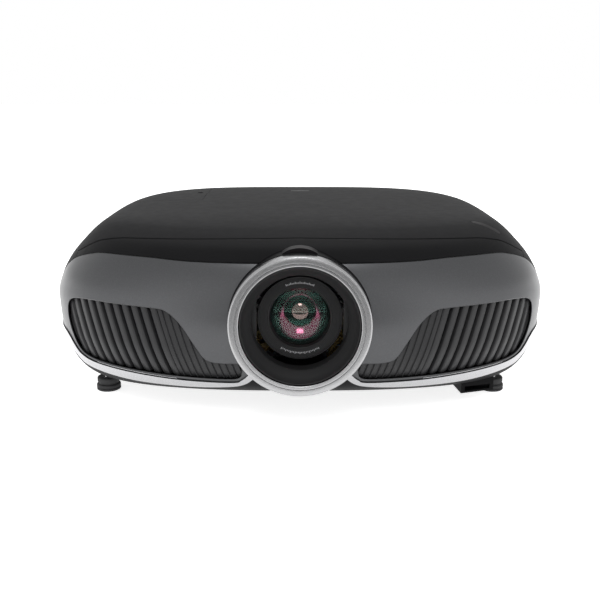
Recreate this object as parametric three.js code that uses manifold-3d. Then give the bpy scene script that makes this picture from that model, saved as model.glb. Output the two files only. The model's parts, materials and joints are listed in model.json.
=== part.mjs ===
// Home-cinema projector, millimetres, +Z up, lens facing -Y.
// Origin: centre of the overall box, on the plane that the feet stand on.
import * as THREE from 'three';
import { mergeVertices } from 'three/addons/utils/BufferGeometryUtils.js';
import Module from 'manifold-3d';

const wasm = await Module();
wasm.setup();

// ---------------------------------------------------------------- driving sizes
const WIDTH = 520;               // overall, across the sides
const DEPTH = 450;               // overall, lens ring to rear wall
const CASE_HEIGHT = 170;         // casing without feet
const FOOT_HEIGHT = 23;          // floor to casing
const RING_PROUD = 13;           // lens ring in front of the casing
const WALL = 2.6;                // moulded casing wall
const GAP = 0.4;                 // joint line between mouldings
const FIT = 0.35;                // clearance of small pieces in their holes

const COLLAR_DROP = 13.2;        // top of the lens collar, below the top of the casing
const BARREL_SHARE = 0.237;      // radius of the lens barrel's front bell to casing height
const BELL_STEP = 4.3;           // the bell stands out from the tube by this
const GLASS_RIM = 12.2;          // the bell's width around the front glass
const BARREL_SETBACK = -7.3;     // barrel face behind the front plane, beyond the bell radius
const BARREL_LENGTH = 104;
const SHIFT_ROOM = 4.8;          // throat of the funnel around the bell
const FUNNEL_FLARE = 10.7;       // the funnel widens by this towards the front
const RING_WIDTH = 9.9;          // silver ring, bore to rim
const RING_LENGTH = 13;          // silver ring, front to back
const COLLAR_STEP = 0.6;         // black tube stands out from the ring by this
const COLLAR_WALL = 8;
const COLLAR_LENGTH = 34;
const SHUTTER_T = 1.4;           // thickness of a shutter leaf
const GUARD_EDGE = 4.5;          // width of the crescent guards in the throat
const SHIFT_Z = 12;              // lens shift up and down

const PART_SHARE = 0.2824;       // joint between top cover and lower case, in casing heights
const FASCIA_END = -32;          // fascia wraps round the corners to here
const BROW_END = -100;           // brow strip ends here at each corner
const TRIM_PROUD = 1;            // silver trim in front of the casing

const FOOT_INSET = 49;           // front feet, in from the sides
const FOOT_SETBACK = 155;        // front feet, behind the front plane
const PAD_R = 13;
const STUD_R = 4;
const REAR_FOOT_INSET = 110;
const REAR_FOOT_SETBACK = 60.8;  // rear feet, in front of the rear wall

const SEGMENTS = 28;             // facets on large round parts
const SMALL_SEGMENTS = 12;       // facets on small round parts

// ---------------------------------------------------------------- derived places
const HALF_W = WIDTH / 2;
const FRONT = -DEPTH / 2;
const REAR_CROWN = 0.8;          // crest of the rear wall, which the connector bay takes away
const REAR = DEPTH / 2 + REAR_CROWN;
const CASE_FRONT = FRONT + RING_PROUD;
const CASE_BOTTOM = FOOT_HEIGHT;
const CASE_TOP = FOOT_HEIGHT + CASE_HEIGHT;
const BACK_OF_RING = FRONT + RING_LENGTH;
const BARREL_R = BARREL_SHARE * CASE_HEIGHT;
const TUBE_R = BARREL_R - BELL_STEP;
const GLASS_R = BARREL_R - GLASS_RIM;
const THROAT_R = BARREL_R + SHIFT_ROOM;
const RING_BORE = THROAT_R + FUNNEL_FLARE;
const RING_R = RING_BORE + RING_WIDTH;
const COLLAR_R = RING_R + COLLAR_STEP;
const BARREL_Y = FRONT + BARREL_R + BARREL_SETBACK;
const BARREL_END = BARREL_Y + BARREL_LENGTH;
const LENS_HEIGHT = CASE_TOP - COLLAR_DROP - COLLAR_R;
const SHUTTER_R = THROAT_R + 0.5;
const SHUTTER_TRAVEL = THROAT_R + 0.8;
const PART_LINE = CASE_BOTTOM + PART_SHARE * CASE_HEIGHT;
const FOOT_X = HALF_W - FOOT_INSET;
const FOOT_Y = FRONT + FOOT_SETBACK;
const REAR_FOOT_X = HALF_W - REAR_FOOT_INSET;
const REAR_FOOT_Y = REAR - REAR_FOOT_SETBACK;
const WAIST_Y = -40;             // plan position of the widest point
const FAR = 40;                  // how far cutting prisms run past the casing

// ---------------------------------------------------------------- solids
function solidOf(geometry) {
  const bare = geometry.index ? geometry.toNonIndexed() : geometry.clone();
  bare.deleteAttribute('normal');
  bare.deleteAttribute('uv');
  const welded = mergeVertices(bare, 1e-4);
  const corner = welded.index.array;
  const faces = [];
  for (let i = 0; i < corner.length; i += 3) {
    const [a, b, c] = [corner[i], corner[i + 1], corner[i + 2]];
    if (a !== b && b !== c && c !== a) faces.push(a, b, c);
  }
  const position = welded.attributes.position.array;
  if (signedVolume(position, faces) < 0) faces.reverse();
  return new wasm.Manifold(new wasm.Mesh({
    numProp: 3,
    vertProperties: new Float32Array(position),
    triVerts: new Uint32Array(faces),
  }));
}

function signedVolume(position, faces) {
  const point = (i) => new THREE.Vector3().fromArray(position, 3 * i);
  let sum = 0;
  for (let i = 0; i < faces.length; i += 3) {
    sum += point(faces[i]).dot(point(faces[i + 1]).cross(point(faces[i + 2])));
  }
  return sum;
}

function box(x0, x1, y0, y1, z0, z1) {
  const geometry = new THREE.BoxGeometry(x1 - x0, y1 - y0, z1 - z0);
  geometry.translate((x0 + x1) / 2, (y0 + y1) / 2, (z0 + z1) / 2);
  return solidOf(geometry);
}

function extrusion(outline, depth) {
  const shape = new THREE.Shape(outline.map(([u, v]) => new THREE.Vector2(u, v)));
  return new THREE.ExtrudeGeometry(shape, { depth, bevelEnabled: false });
}

// outline in (x, z), run along y
function prismY(outline, y0, y1) {
  const geometry = extrusion(outline, y1 - y0);
  geometry.rotateX(Math.PI / 2);
  geometry.translate(0, y1, 0);
  return solidOf(geometry);
}

// outline in (x, y), run along z
function prismZ(outline, z0, z1) {
  const geometry = extrusion(outline, z1 - z0);
  geometry.translate(0, 0, z0);
  return solidOf(geometry);
}

// outline in (y, z), run along x
function prismX(outline, x0, x1) {
  const geometry = extrusion(outline, x1 - x0);
  geometry.rotateX(Math.PI / 2);
  geometry.rotateZ(Math.PI / 2);
  geometry.translate(x0, 0, 0);
  return solidOf(geometry);
}

// profile of [radius, station] pairs, turned about an axis through a point
function turned(profile, axis, centre, segments = SEGMENTS) {
  const points = profile.map(([r, h]) => new THREE.Vector2(r, h));
  const onAxis = profile[0][0] === 0 && profile[profile.length - 1][0] === 0;
  if (!onAxis) points.push(points[0].clone());
  const geometry = new THREE.LatheGeometry(points, segments);
  if (axis === 'z') geometry.rotateX(Math.PI / 2);
  if (axis === 'x') geometry.rotateZ(-Math.PI / 2);
  geometry.translate(...centre);
  return solidOf(geometry);
}

function rod(axis, centre, radius, from, to, segments = SMALL_SEGMENTS) {
  return turned([[0, from], [radius, from], [radius, to], [0, to]], axis, centre, segments);
}

const LENS_AXIS = [0, 0, LENS_HEIGHT];

function lensRod(radius, from, to, segments = SEGMENTS) {
  return rod('y', LENS_AXIS, radius, from, to, segments);
}

// ---------------------------------------------------------------- outlines
function smooth(points, count) {
  const curve = new THREE.SplineCurve(points.map(([u, v]) => new THREE.Vector2(u, v)));
  return curve.getSpacedPoints(count).map((p) => [p.x, p.y]);
}

function mirrored(points) {
  return points.map(([x, z]) => [-x, z]);
}

function acrossCentre(half) {
  const left = mirrored(half).reverse();
  return left.concat(half[0][0] === 0 ? half.slice(1) : half);
}

// moves a closed outline outwards by a distance
function grown(outline, distance) {
  const area = THREE.ShapeUtils.area(outline.map(([x, y]) => ({ x, y })));
  const side = area > 0 ? 1 : -1;
  const count = outline.length;
  return outline.map(([x, y], i) => {
    const [px, py] = outline[(i + count - 1) % count];
    const [nx, ny] = outline[(i + 1) % count];
    const before = new THREE.Vector2(y - py, px - x).normalize();
    const after = new THREE.Vector2(ny - y, x - nx).normalize();
    const normal = before.clone().add(after).normalize();
    const reach = (side * distance) / Math.max(0.5, normal.dot(after));
    return [x + normal.x * reach, y + normal.y * reach];
  });
}

function roundedBox(u0, u1, v0, v1, radius, steps = 4) {
  const outline = [];
  const corners = [[u1 - radius, v1 - radius], [u0 + radius, v1 - radius],
    [u0 + radius, v0 + radius], [u1 - radius, v0 + radius]];
  corners.forEach(([cu, cv], quarter) => {
    for (let i = 0; i <= steps; i += 1) {
      const angle = ((quarter + i / steps) * Math.PI) / 2;
      outline.push([cu + radius * Math.cos(angle), cv + radius * Math.sin(angle)]);
    }
  });
  return outline;
}

function circle(cu, cv, radius, steps = SMALL_SEGMENTS) {
  return Array.from({ length: steps }, (_, i) => {
    const angle = (2 * Math.PI * i) / steps;
    return [cu + radius * Math.cos(angle), cv + radius * Math.sin(angle)];
  });
}

// ---------------------------------------------------------------- casing form
// Each station: height, half width, reach to the front and to the rear of the waist,
// and the power of the front corners (2 is an ellipse, larger is squarer).
const STATIONS = [
  [0.000, 0.854, 0.570, 0.879, 2.80],
  [0.024, 0.888, 0.651, 0.913, 2.60],
  [0.059, 0.919, 0.733, 0.943, 2.45],
  [0.112, 0.946, 0.826, 0.966, 2.35],
  [0.194, 0.975, 0.901, 0.981, 2.25],
  [0.359, 0.994, 0.983, 1.000, 2.25],
  [0.524, 1.000, 1.000, 1.000, 2.25],
  [0.641, 0.979, 0.994, 0.996, 2.30],
  [0.759, 0.935, 0.983, 0.989, 2.35],
  [0.853, 0.881, 0.959, 0.977, 2.40],
  [0.912, 0.842, 0.895, 0.966, 2.40],
  [0.947, 0.812, 0.779, 0.958, 2.45],
  [0.971, 0.777, 0.651, 0.940, 2.60],
  [0.985, 0.719, 0.547, 0.906, 2.80],
  [0.996, 0.577, 0.372, 0.800, 2.90],
  [1.000, 0.385, 0.209, 0.604, 3.00],
];
const REAR_POWER = 3.8;
const FRONT_REACH = WAIST_Y - CASE_FRONT;
const REAR_REACH = REAR - WAIST_Y;
const MIDDLE_Y = (CASE_FRONT + REAR) / 2;
const MIDDLE_Z = (CASE_BOTTOM + CASE_TOP) / 2;

// the casing's outline in plan at one station
function planOutline([share, half, front, rear, power], steps) {
  return Array.from({ length: steps }, (_, i) => {
    const angle = (2 * Math.PI * i) / steps;
    const [c, s] = [Math.cos(angle), Math.sin(angle)];
    const n = s < 0 ? power : REAR_POWER;
    const reach = s < 0 ? front * FRONT_REACH : rear * REAR_REACH;
    const x = half * HALF_W * Math.sign(c) * Math.abs(c) ** (2 / n);
    const y = WAIST_Y + reach * Math.sign(s) * Math.abs(s) ** (2 / n);
    return new THREE.Vector3(x, y, CASE_BOTTOM + share * CASE_HEIGHT);
  });
}

// the casing as a solid, grown outwards (or inwards when negative) by an offset
const casingCache = new Map();
function casing(offset, steps = 40, stations = STATIONS) {
  const key = `${offset}/${steps}`;
  if (casingCache.has(key)) return casingCache.get(key);
  const rings = stations.map((station) => planOutline(station, steps));
  const positions = [];
  const scaleX = 1 + offset / HALF_W;
  const scaleY = 1 + offset / (REAR - MIDDLE_Y);
  const scaleZ = 1 + offset / (CASE_TOP - MIDDLE_Z);
  const put = (p) => positions.push(
    p.x * scaleX, MIDDLE_Y + (p.y - MIDDLE_Y) * scaleY, MIDDLE_Z + (p.z - MIDDLE_Z) * scaleZ);
  const face = (a, b, c) => [a, b, c].forEach(put);
  for (let level = 1; level < rings.length; level += 1) {
    for (let i = 0; i < steps; i += 1) {
      const j = (i + 1) % steps;
      face(rings[level - 1][i], rings[level - 1][j], rings[level][j]);
      face(rings[level - 1][i], rings[level][j], rings[level][i]);
    }
  }
  const bottom = rings[0];
  const top = rings[rings.length - 1];
  for (let i = 1; i < steps - 1; i += 1) {
    face(bottom[0], bottom[i + 1], bottom[i]);
    face(top[0], top[i], top[i + 1]);
  }
  const geometry = new THREE.BufferGeometry();
  geometry.setAttribute('position', new THREE.Float32BufferAttribute(positions, 3));
  const solid = solidOf(geometry);
  casingCache.set(key, solid);
  return solid;
}

// the room inside the casing, in plainer facets than the outside
function inside(offset) {
  const plain = STATIONS.filter((_, i) => ![1, 3, 8, 10, 12].includes(i));
  return casing(offset, 28, plain);
}

function layer(outer, inner) {
  return casing(outer).subtract(inside(inner));
}

const shell = layer(0, -WALL);

// ---------------------------------------------------------------- joint lines seen from the front
// The lines are drawn for a casing 520 wide and 170 high whose bottom is at 23,
// and stretch with the casing.
const DRAWN = { halfWidth: 260, height: 170, bottom: 23 };
const SIDE = DRAWN.halfWidth + 4;

function caseX(x) {
  return (x * HALF_W) / DRAWN.halfWidth;
}

function caseZ(z) {
  return CASE_BOTTOM + ((z - DRAWN.bottom) * CASE_HEIGHT) / DRAWN.height;
}

function drawn(points, count) {
  return smooth(points, count).map(([x, z]) => [caseX(x), caseZ(z)]);
}

const fasciaTopLine = drawn([[0, 168.6], [96, 168.6], [142, 169.6], [186, 168], [206, 164],
  [226, 156], [240, 146], [252, 132], [SIDE, 124]], 12);
const deckSeamLine = drawn([[0, 185.4], [91, 184.2], [163, 181.7], [190, 178], [206, 172.5],
  [228, 160]], 8);
const trimTopLine = drawn([[48.8, 59], [56, 51.5], [66, 47.6], [115, 47.6], [158, 49.7],
  [193, 51.7], [214, 53.5], [226, 58.3], [232.5, 66], [238, 74], [246, 79], [SIDE, 80]], 15);
const trimBottomLine = drawn([[43, 55], [52, 46.5], [64, 41.5], [90, 38], [117, 37],
  [161, 37.8], [195, 41], [222, 45], [233, 52.5], [240, 58], [250, 62], [SIDE, 64]], 14);
const HIDDEN_BY_RING = [caseX(36), caseZ(68)];

const fasciaOutline = acrossCentre(fasciaTopLine)
  .concat(acrossCentre([HIDDEN_BY_RING].concat(trimTopLine)).reverse());
const browOutline = acrossCentre(deckSeamLine)
  .concat(acrossCentre(fasciaTopLine.filter(([x]) => x < caseX(229))).reverse());
const trimOutline = trimTopLine.concat([...trimBottomLine].reverse());
const trimReach = [[CASE_FRONT - FAR, caseZ(20)], [-75, caseZ(20)], [-70, caseZ(60)],
  [-6, caseZ(78)], [-6, caseZ(90)], [CASE_FRONT - FAR, caseZ(90)]];
const VENT_BACK = WAIST_Y - 20;  // the vents' outlines run back to here

const grilleOutline = drawn([[56, 56], [66, 51.6], [115, 51.6], [154, 53], [193, 55],
  [214, 57.5], [225, 64], [232, 80], [236, 100], [231, 116], [212, 121.5], [176, 123],
  [140, 123], [126, 121], [113, 110.5], [100.4, 91.2], [92, 78], [86, 73], [74, 71.2],
  [57, 71], [55, 64]], 26);

function frontRegion(outline, distance, endY) {
  return prismY(grown(outline, distance), CASE_FRONT - FAR, endY + distance);
}

const fasciaCut = frontRegion(fasciaOutline, GAP / 2, FASCIA_END);
const browCut = frontRegion(browOutline, GAP / 2, BROW_END);
const lensHole = lensRod(COLLAR_R + GAP, CASE_FRONT - FAR, BARREL_Y + 42);
const SHUTTER_REACH = SHUTTER_TRAVEL + SHUTTER_R + 2;

// room for the shutter leaves to slide apart, open towards the front down to a given depth
function shutterRoom(depth) {
  return box(-SHUTTER_REACH, SHUTTER_REACH, BARREL_Y - 0.6 - depth, BARREL_Y - 0.6,
    LENS_HEIGHT - SHUTTER_R - 1, LENS_HEIGHT + SHUTTER_R + 1);
}

const shutterSlot = shutterRoom(2.2);
const RIM_WALL = 4;              // rim behind the fascia, around the lens collar

// the small hood on top of the lens collar, and the room that it needs
function receiverBump(distance, y0, y1) {
  const crest = LENS_HEIGHT + COLLAR_R;
  const top = smooth([[-16, crest - 0.8], [-9, crest + 2.8], [0, crest + 4.2], [9, crest + 2.8],
    [16, crest - 0.8]], 10);
  return prismY(grown(top.concat([[16, crest - 10], [-16, crest - 10]]), distance), y0, y1);
}

const receiverRoom = receiverBump(GAP, CASE_FRONT - FAR, BACK_OF_RING + 16 + GAP);

function trimCut(side, distance) {
  const outline = side < 0 ? mirrored(trimOutline) : trimOutline;
  return frontRegion(outline, distance, 0).intersect(
    prismX(grown(trimReach, distance), -HALF_W - FAR, HALF_W + FAR));
}

// ---------------------------------------------------------------- openings in the walls
const REAR_BAY = { x0: -150, x1: 70, z0: CASE_BOTTOM + 15, z1: CASE_BOTTOM + 105, radius: 6 };
const FILTER_BAY = {
  x0: caseX(92), x1: caseX(188), z0: CASE_BOTTOM + 23, z1: CASE_BOTTOM + 101, radius: 8,
};
const DOOR_BAY = { y0: -24, y1: 32, z0: CASE_BOTTOM + 59, z1: CASE_BOTTOM + 93, radius: 5 };
const LAMP_Y = BARREL_END + 191; // middle of the lamp
const LAMP_BAY = { x1: 144 - HALF_W, y0: LAMP_Y - 51, y1: LAMP_Y + 85, z0: CASE_TOP - 71 };
const BAY_START = REAR - 75.8;   // rear openings are cut from here backwards

function bayY({ x0, x1, z0, z1, radius }, distance, y0, y1) {
  return prismY(grown(roundedBox(x0, x1, z0, z1, radius), distance), y0, y1);
}

const rearCut = bayY(REAR_BAY, 0, BAY_START, REAR + FAR);
const filterCut = bayY(FILTER_BAY, 0, BAY_START, REAR + FAR);
const doorCut = prismX(roundedBox(DOOR_BAY.y0, DOOR_BAY.y1, DOOR_BAY.z0, DOOR_BAY.z1,
  DOOR_BAY.radius), HALF_W - 20, HALF_W + FAR);

function lampRegion(distance) {
  return box(-HALF_W - FAR, LAMP_BAY.x1 + distance, LAMP_BAY.y0 - distance,
    LAMP_BAY.y1 + distance, LAMP_BAY.z0 - distance, CASE_TOP + FAR);
}

const STATUS_AT = [HALF_W - 71, FRONT + 122];
const STATUS_SIZE = [30, 9];
const STATUS_TURN = -0.43;
const RECEIVER_AT = [0, REAR - 88.8];
const RECEIVER_SIZE = [24, 6];

function deckPatch([cx, cy], [length, width], turn, distance) {
  const outline = grown(roundedBox(-length / 2, length / 2, -width / 2, width / 2,
    width / 2 - 0.5), distance);
  const [c, s] = [Math.cos(turn), Math.sin(turn)];
  return prismZ(outline.map(([u, v]) => [cx + u * c - v * s, cy + u * s + v * c]),
    MIDDLE_Z, CASE_TOP + FAR);
}

function deckWindow(at, size, turn) {
  return casing(0).subtract(casing(-1.2)).intersect(deckPatch(at, size, turn, 0));
}

function deckPocket(at, size, turn) {
  return casing(2).subtract(casing(-1.5)).intersect(deckPatch(at, size, turn, FIT));
}

// ---------------------------------------------------------------- casing mouldings
function topCover() {
  const above = box(-HALF_W - FAR, HALF_W + FAR, FRONT - FAR, REAR + FAR,
    PART_LINE + GAP / 2, CASE_TOP + FAR);
  return shell.intersect(above)
    .subtract(fasciaCut)
    .subtract(browCut)
    .subtract(lensHole)
    .subtract(receiverRoom)
    .subtract(trimCut(1, GAP / 2))
    .subtract(trimCut(-1, GAP / 2))
    .subtract(lampRegion(GAP / 2))
    .subtract(rearCut)
    .subtract(filterCut)
    .subtract(doorCut)
    .subtract(deckPocket(STATUS_AT, STATUS_SIZE, STATUS_TURN))
    .subtract(deckPocket(RECEIVER_AT, RECEIVER_SIZE, 0));
}

function brow() {
  return shell.intersect(frontRegion(browOutline, -GAP / 2, BROW_END))
    .subtract(lensHole)
    .subtract(receiverRoom);
}

const FLOOR = CASE_BOTTOM + WALL;
const MOUNT_BOSSES = [[-110, -45], [110, -45], [-110, 125], [110, 125]];
const BOSS_R = 8;
const BOSS_TOP = FLOOR + 14;

function lowerCase() {
  const below = box(-HALF_W - FAR, HALF_W + FAR, FRONT - FAR, REAR + FAR,
    CASE_BOTTOM - FAR, PART_LINE - GAP / 2);
  let solid = shell.intersect(below)
    .subtract(fasciaCut)
    .subtract(trimCut(1, GAP / 2))
    .subtract(trimCut(-1, GAP / 2))
    .subtract(lensHole)
    .subtract(rearCut)
    .subtract(filterCut);
  for (const side of [-1, 1]) {
    const centre = [side * FOOT_X, FOOT_Y, 0];
    solid = solid.add(rod('z', centre, STUD_R + 5, CASE_BOTTOM + 1, CASE_BOTTOM + 26));
    solid = solid.subtract(rod('z', centre, STUD_R + FIT, 0, CASE_TOP));
  }
  for (const [x, y] of MOUNT_BOSSES) {
    solid = solid.add(rod('z', [x, y, 0], BOSS_R, CASE_BOTTOM, BOSS_TOP));
    solid = solid.subtract(rod('z', [x, y, 0], 2.2, CASE_BOTTOM - 1, BOSS_TOP - 3));
  }
  for (let row = 0; row < 7; row += 1) {
    const y = 20 + row * 9;
    solid = solid.subtract(prismZ(roundedBox(-60, 60, y, y + 4, 1.6, 1), 0, FLOOR + 5));
  }
  return solid;
}

// The hidden rim carries the lens collar, and the shutter leaves slide through its slot.
function frontPanel() {
  const region = frontRegion(fasciaOutline, -GAP / 2, FASCIA_END);
  const rim = lensRod(COLLAR_R + GAP + RIM_WALL, BARREL_Y - 12, BARREL_Y + 32)
    .subtract(lensHole);
  const keep = inside(-WALL - GAP).add(region.intersect(casing(-1)));
  const hidden = rim.intersect(keep).subtract(shutterSlot).subtract(receiverRoom);
  let solid = shell.intersect(region).subtract(lensHole).subtract(receiverRoom).add(hidden);
  for (const side of [-1, 1]) {
    const outline = side < 0 ? mirrored(grilleOutline) : grilleOutline;
    solid = solid.subtract(prismY(outline, CASE_FRONT - FAR, VENT_BACK));
  }
  return solid;
}

const SCREW_AT = [LAMP_BAY.x1 - 10, LAMP_BAY.y0 + 68];
const SCREW_R = 3.4;

function lampCover() {
  return shell.intersect(lampRegion(-GAP / 2))
    .subtract(rod('z', [SCREW_AT[0], SCREW_AT[1], 0], SCREW_R + FIT, 0, CASE_TOP + 5));
}

function lampCoverScrew() {
  const top = CASE_TOP - 1.6;
  const profile = [[0, top - 13], [1.6, top - 13], [1.6, top - 2.2], [SCREW_R, top - 2.2],
    [SCREW_R, top], [0, top]];
  return turned(profile, 'z', [SCREW_AT[0], SCREW_AT[1], 0], SMALL_SEGMENTS)
    .subtract(box(SCREW_AT[0] - 2.4, SCREW_AT[0] + 2.4, SCREW_AT[1] - 0.5, SCREW_AT[1] + 0.5,
      top - 1, top + 1));
}

function trim(side) {
  return layer(TRIM_PROUD, -WALL).intersect(trimCut(side, -GAP / 2))
    .subtract(lensHole);
}

// ---------------------------------------------------------------- louvred air vents
const LOUVRE_LEAN = 0.257;       // sideways run of a slot for each mm of height
const LOUVRE_PITCH = 10;
const LOUVRE_SLOT = 4.2;
const LOUVRES_FROM = caseX(136); // first wide slot, measured at the top of the vent
const RIBS_TO = caseX(60);       // last narrow slot
const RIB_PITCH = 6.5;
const RIB_SLOT = 2.8;
const VENT_BOTTOM = caseZ(48);
const VENT_TOP = caseZ(126);
const VENT_BORDER = 1.5;         // solid edge of the louvred plate inside the opening
const VENT_LAP = 3;              // the plate reaches this far behind the fascia
const VENT_DEPTH = 9;

function leaningSlot(topX, width) {
  const run = LOUVRE_LEAN * (VENT_TOP - VENT_BOTTOM);
  return [[topX - run, VENT_BOTTOM], [topX - run + width, VENT_BOTTOM],
    [topX + width, VENT_TOP], [topX, VENT_TOP]];
}

function grille(side) {
  const place = (outline) => (side < 0 ? mirrored(outline) : outline);
  let slots = [];
  for (let x = LOUVRES_FROM; x < HALF_W; x += LOUVRE_PITCH) {
    slots.push(leaningSlot(x, LOUVRE_SLOT));
  }
  for (let x = LOUVRES_FROM - RIB_PITCH; x > RIBS_TO; x -= RIB_PITCH) {
    slots.push(leaningSlot(x, RIB_SLOT));
  }
  slots = slots.map((slot) => prismY(place(slot), CASE_FRONT - FAR, VENT_BACK));
  const window = prismY(place(grown(grilleOutline, -VENT_BORDER)), CASE_FRONT - FAR, VENT_BACK);
  const plate = inside(-WALL - GAP).subtract(inside(-WALL - VENT_DEPTH))
    .intersect(prismY(place(grown(grilleOutline, VENT_LAP)), CASE_FRONT - FAR, VENT_BACK))
    .subtract(lensRod(COLLAR_R + GAP + RIM_WALL + GAP, CASE_FRONT - FAR, VENT_BACK));
  return plate.subtract(wasm.Manifold.union(slots).intersect(window)).subtract(shutterRoom(30));
}

// ---------------------------------------------------------------- lens surround
function lensRing() {
  const f = FRONT;
  return turned([[RING_BORE, f + RING_LENGTH], [RING_BORE, f + 2], [RING_BORE + 0.8, f + 0.6],
    [RING_BORE + 2.6, f], [RING_BORE + 3.1, f + 1.2], [RING_BORE + 3.8, f + 1.2],
    [RING_BORE + 4.3, f], [RING_R - 1, f + 0.5],
    [RING_R, f + 2], [RING_R, f + RING_LENGTH]], 'y', LENS_AXIS);
}

function lensCollar() {
  const from = BACK_OF_RING + GAP;
  const bore = COLLAR_R - COLLAR_WALL;
  return turned([[bore, from], [COLLAR_R, from], [COLLAR_R, from + COLLAR_LENGTH],
    [bore, from + COLLAR_LENGTH]], 'y', LENS_AXIS).subtract(shutterSlot);
}

function lensFunnel() {
  const f = FRONT;
  const lip = RING_BORE - GAP;
  const back = BACK_OF_RING + 5.6;
  const end = BARREL_Y - 3.4;
  const cone = turned([[lip - 1, f + 2.5], [lip, f + 2.5], [lip, back - 2.4],
    [COLLAR_R - COLLAR_WALL - GAP, back - 2.4], [COLLAR_R - COLLAR_WALL - GAP, back],
    [THROAT_R + 1.8, back], [THROAT_R + 1.8, end], [THROAT_R, end], [THROAT_R, back - 1.4]],
  'y', LENS_AXIS);
  const guards = lensRod(THROAT_R + 1, end - 1.2, end - 0.2)
    .subtract(box(GUARD_EDGE - THROAT_R, THROAT_R - GUARD_EDGE, end - 2, end, 0, CASE_TOP));
  return cone.add(guards);
}

function frontReceiver() {
  return receiverBump(0, BACK_OF_RING + 1, BACK_OF_RING + 16)
    .subtract(lensRod(COLLAR_R + 0.3, FRONT - 10, BARREL_END, 96));
}

// ---------------------------------------------------------------- lens and shutter
function lensBarrel() {
  const y = BARREL_Y;
  const bore = TUBE_R / 2;
  return turned([[GLASS_R + 4.9, y], [BARREL_R - 1, y], [BARREL_R, y + 1], [BARREL_R, y + 8.6],
    [TUBE_R, y + 10.6], [TUBE_R, BARREL_END], [bore, BARREL_END], [bore, y + 14],
    [GLASS_R + 0.3, y + 13.4], [GLASS_R + 0.3, y + 4.1]], 'y', LENS_AXIS);
}

function frontGlass() {
  const y = BARREL_Y;
  return turned([[0, y + 1], [10, y + 1.7], [20, y + 3.6], [GLASS_R, y + 5.8],
    [GLASS_R, y + 12], [0, y + 12]], 'y', LENS_AXIS);
}

function shutterLeaf(side) {
  const outline = [];
  const steps = 24;
  for (let i = 0; i <= steps; i += 1) {
    const angle = -Math.PI / 2 + (Math.PI * i) / steps;
    const x = SHUTTER_TRAVEL + 0.2 + SHUTTER_R * Math.cos(angle);
    outline.push([side * x, LENS_HEIGHT + SHUTTER_R * Math.sin(angle)]);
  }
  const y = BARREL_Y - 1 - SHUTTER_T;
  return prismY(outline, y, y + SHUTTER_T);
}

// spur gear about a line parallel to the lens axis
function gear({ centre, teeth, module, bore, y0, y1, phase }) {
  const pitchR = (teeth * module) / 2;
  const outline = [];
  for (let i = 0; i < teeth; i += 1) {
    const middle = phase + (2 * Math.PI * i) / teeth;
    const pitch = (2 * Math.PI) / teeth;
    for (const [share, radius] of [[-0.27, pitchR - module], [-0.11, pitchR + 0.8 * module],
      [0.11, pitchR + 0.8 * module], [0.27, pitchR - module]]) {
      const angle = middle + share * pitch;
      outline.push([centre[0] + radius * Math.cos(angle), centre[1] + radius * Math.sin(angle)]);
    }
  }
  return prismY(outline, y0, y1).subtract(rod('y', [centre[0], 0, centre[1]], bore,
    y0 - 1, y1 + 1, SEGMENTS));
}

const GEAR_MODULE = 2.7;
const GEAR_RIM = 4.5;            // pitch circle outside the lens tube
const RING_TEETH = Math.round((2 * (TUBE_R + GEAR_RIM)) / GEAR_MODULE);
const PINION_TEETH = 10;
const GEAR_DISTANCE = ((RING_TEETH + PINION_TEETH) * GEAR_MODULE) / 2;
const GEARS = {
  focus: { y0: BARREL_Y + 35, y1: BARREL_Y + 43, toward: -0.25 * Math.PI },
  zoom: { y0: BARREL_Y + 51, y1: BARREL_Y + 59, toward: -0.75 * Math.PI },
};

function lensGear(name) {
  const { y0, y1, toward } = GEARS[name];
  return gear({ centre: [0, LENS_HEIGHT], teeth: RING_TEETH, module: GEAR_MODULE,
    bore: TUBE_R + FIT, y0, y1, phase: toward });
}

function pinion(name) {
  const { y0, y1, toward } = GEARS[name];
  const centre = [GEAR_DISTANCE * Math.cos(toward), LENS_HEIGHT + GEAR_DISTANCE * Math.sin(toward)];
  const halfPitch = Math.PI / PINION_TEETH;
  return gear({ centre, teeth: PINION_TEETH, module: GEAR_MODULE, bore: 2.5, y0, y1,
    phase: toward + Math.PI + halfPitch });
}

const SHIFT_Y = BARREL_Y + 70;   // front of the shift carriage

function shiftCarriage() {
  const plate = prismY(roundedBox(-TUBE_R - 26, TUBE_R + 26, LENS_HEIGHT - TUBE_R - 24,
    LENS_HEIGHT + TUBE_R + 20, 6), SHIFT_Y, SHIFT_Y + 3);
  const window = prismY(roundedBox(-TUBE_R - 2, TUBE_R + 2, LENS_HEIGHT - TUBE_R - SHIFT_Z - 2,
    LENS_HEIGHT + TUBE_R + SHIFT_Z + 2, 20), SHIFT_Y - 1, SHIFT_Y + 4);
  return plate.subtract(window);
}

function shiftPlate() {
  return prismY(roundedBox(-TUBE_R - 14, TUBE_R + 14, LENS_HEIGHT - TUBE_R - 6,
    LENS_HEIGHT + TUBE_R + 6, 6), SHIFT_Y + 3.5, SHIFT_Y + 6.5)
    .subtract(lensRod(TUBE_R + FIT, SHIFT_Y, SHIFT_Y + 10));
}

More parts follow.
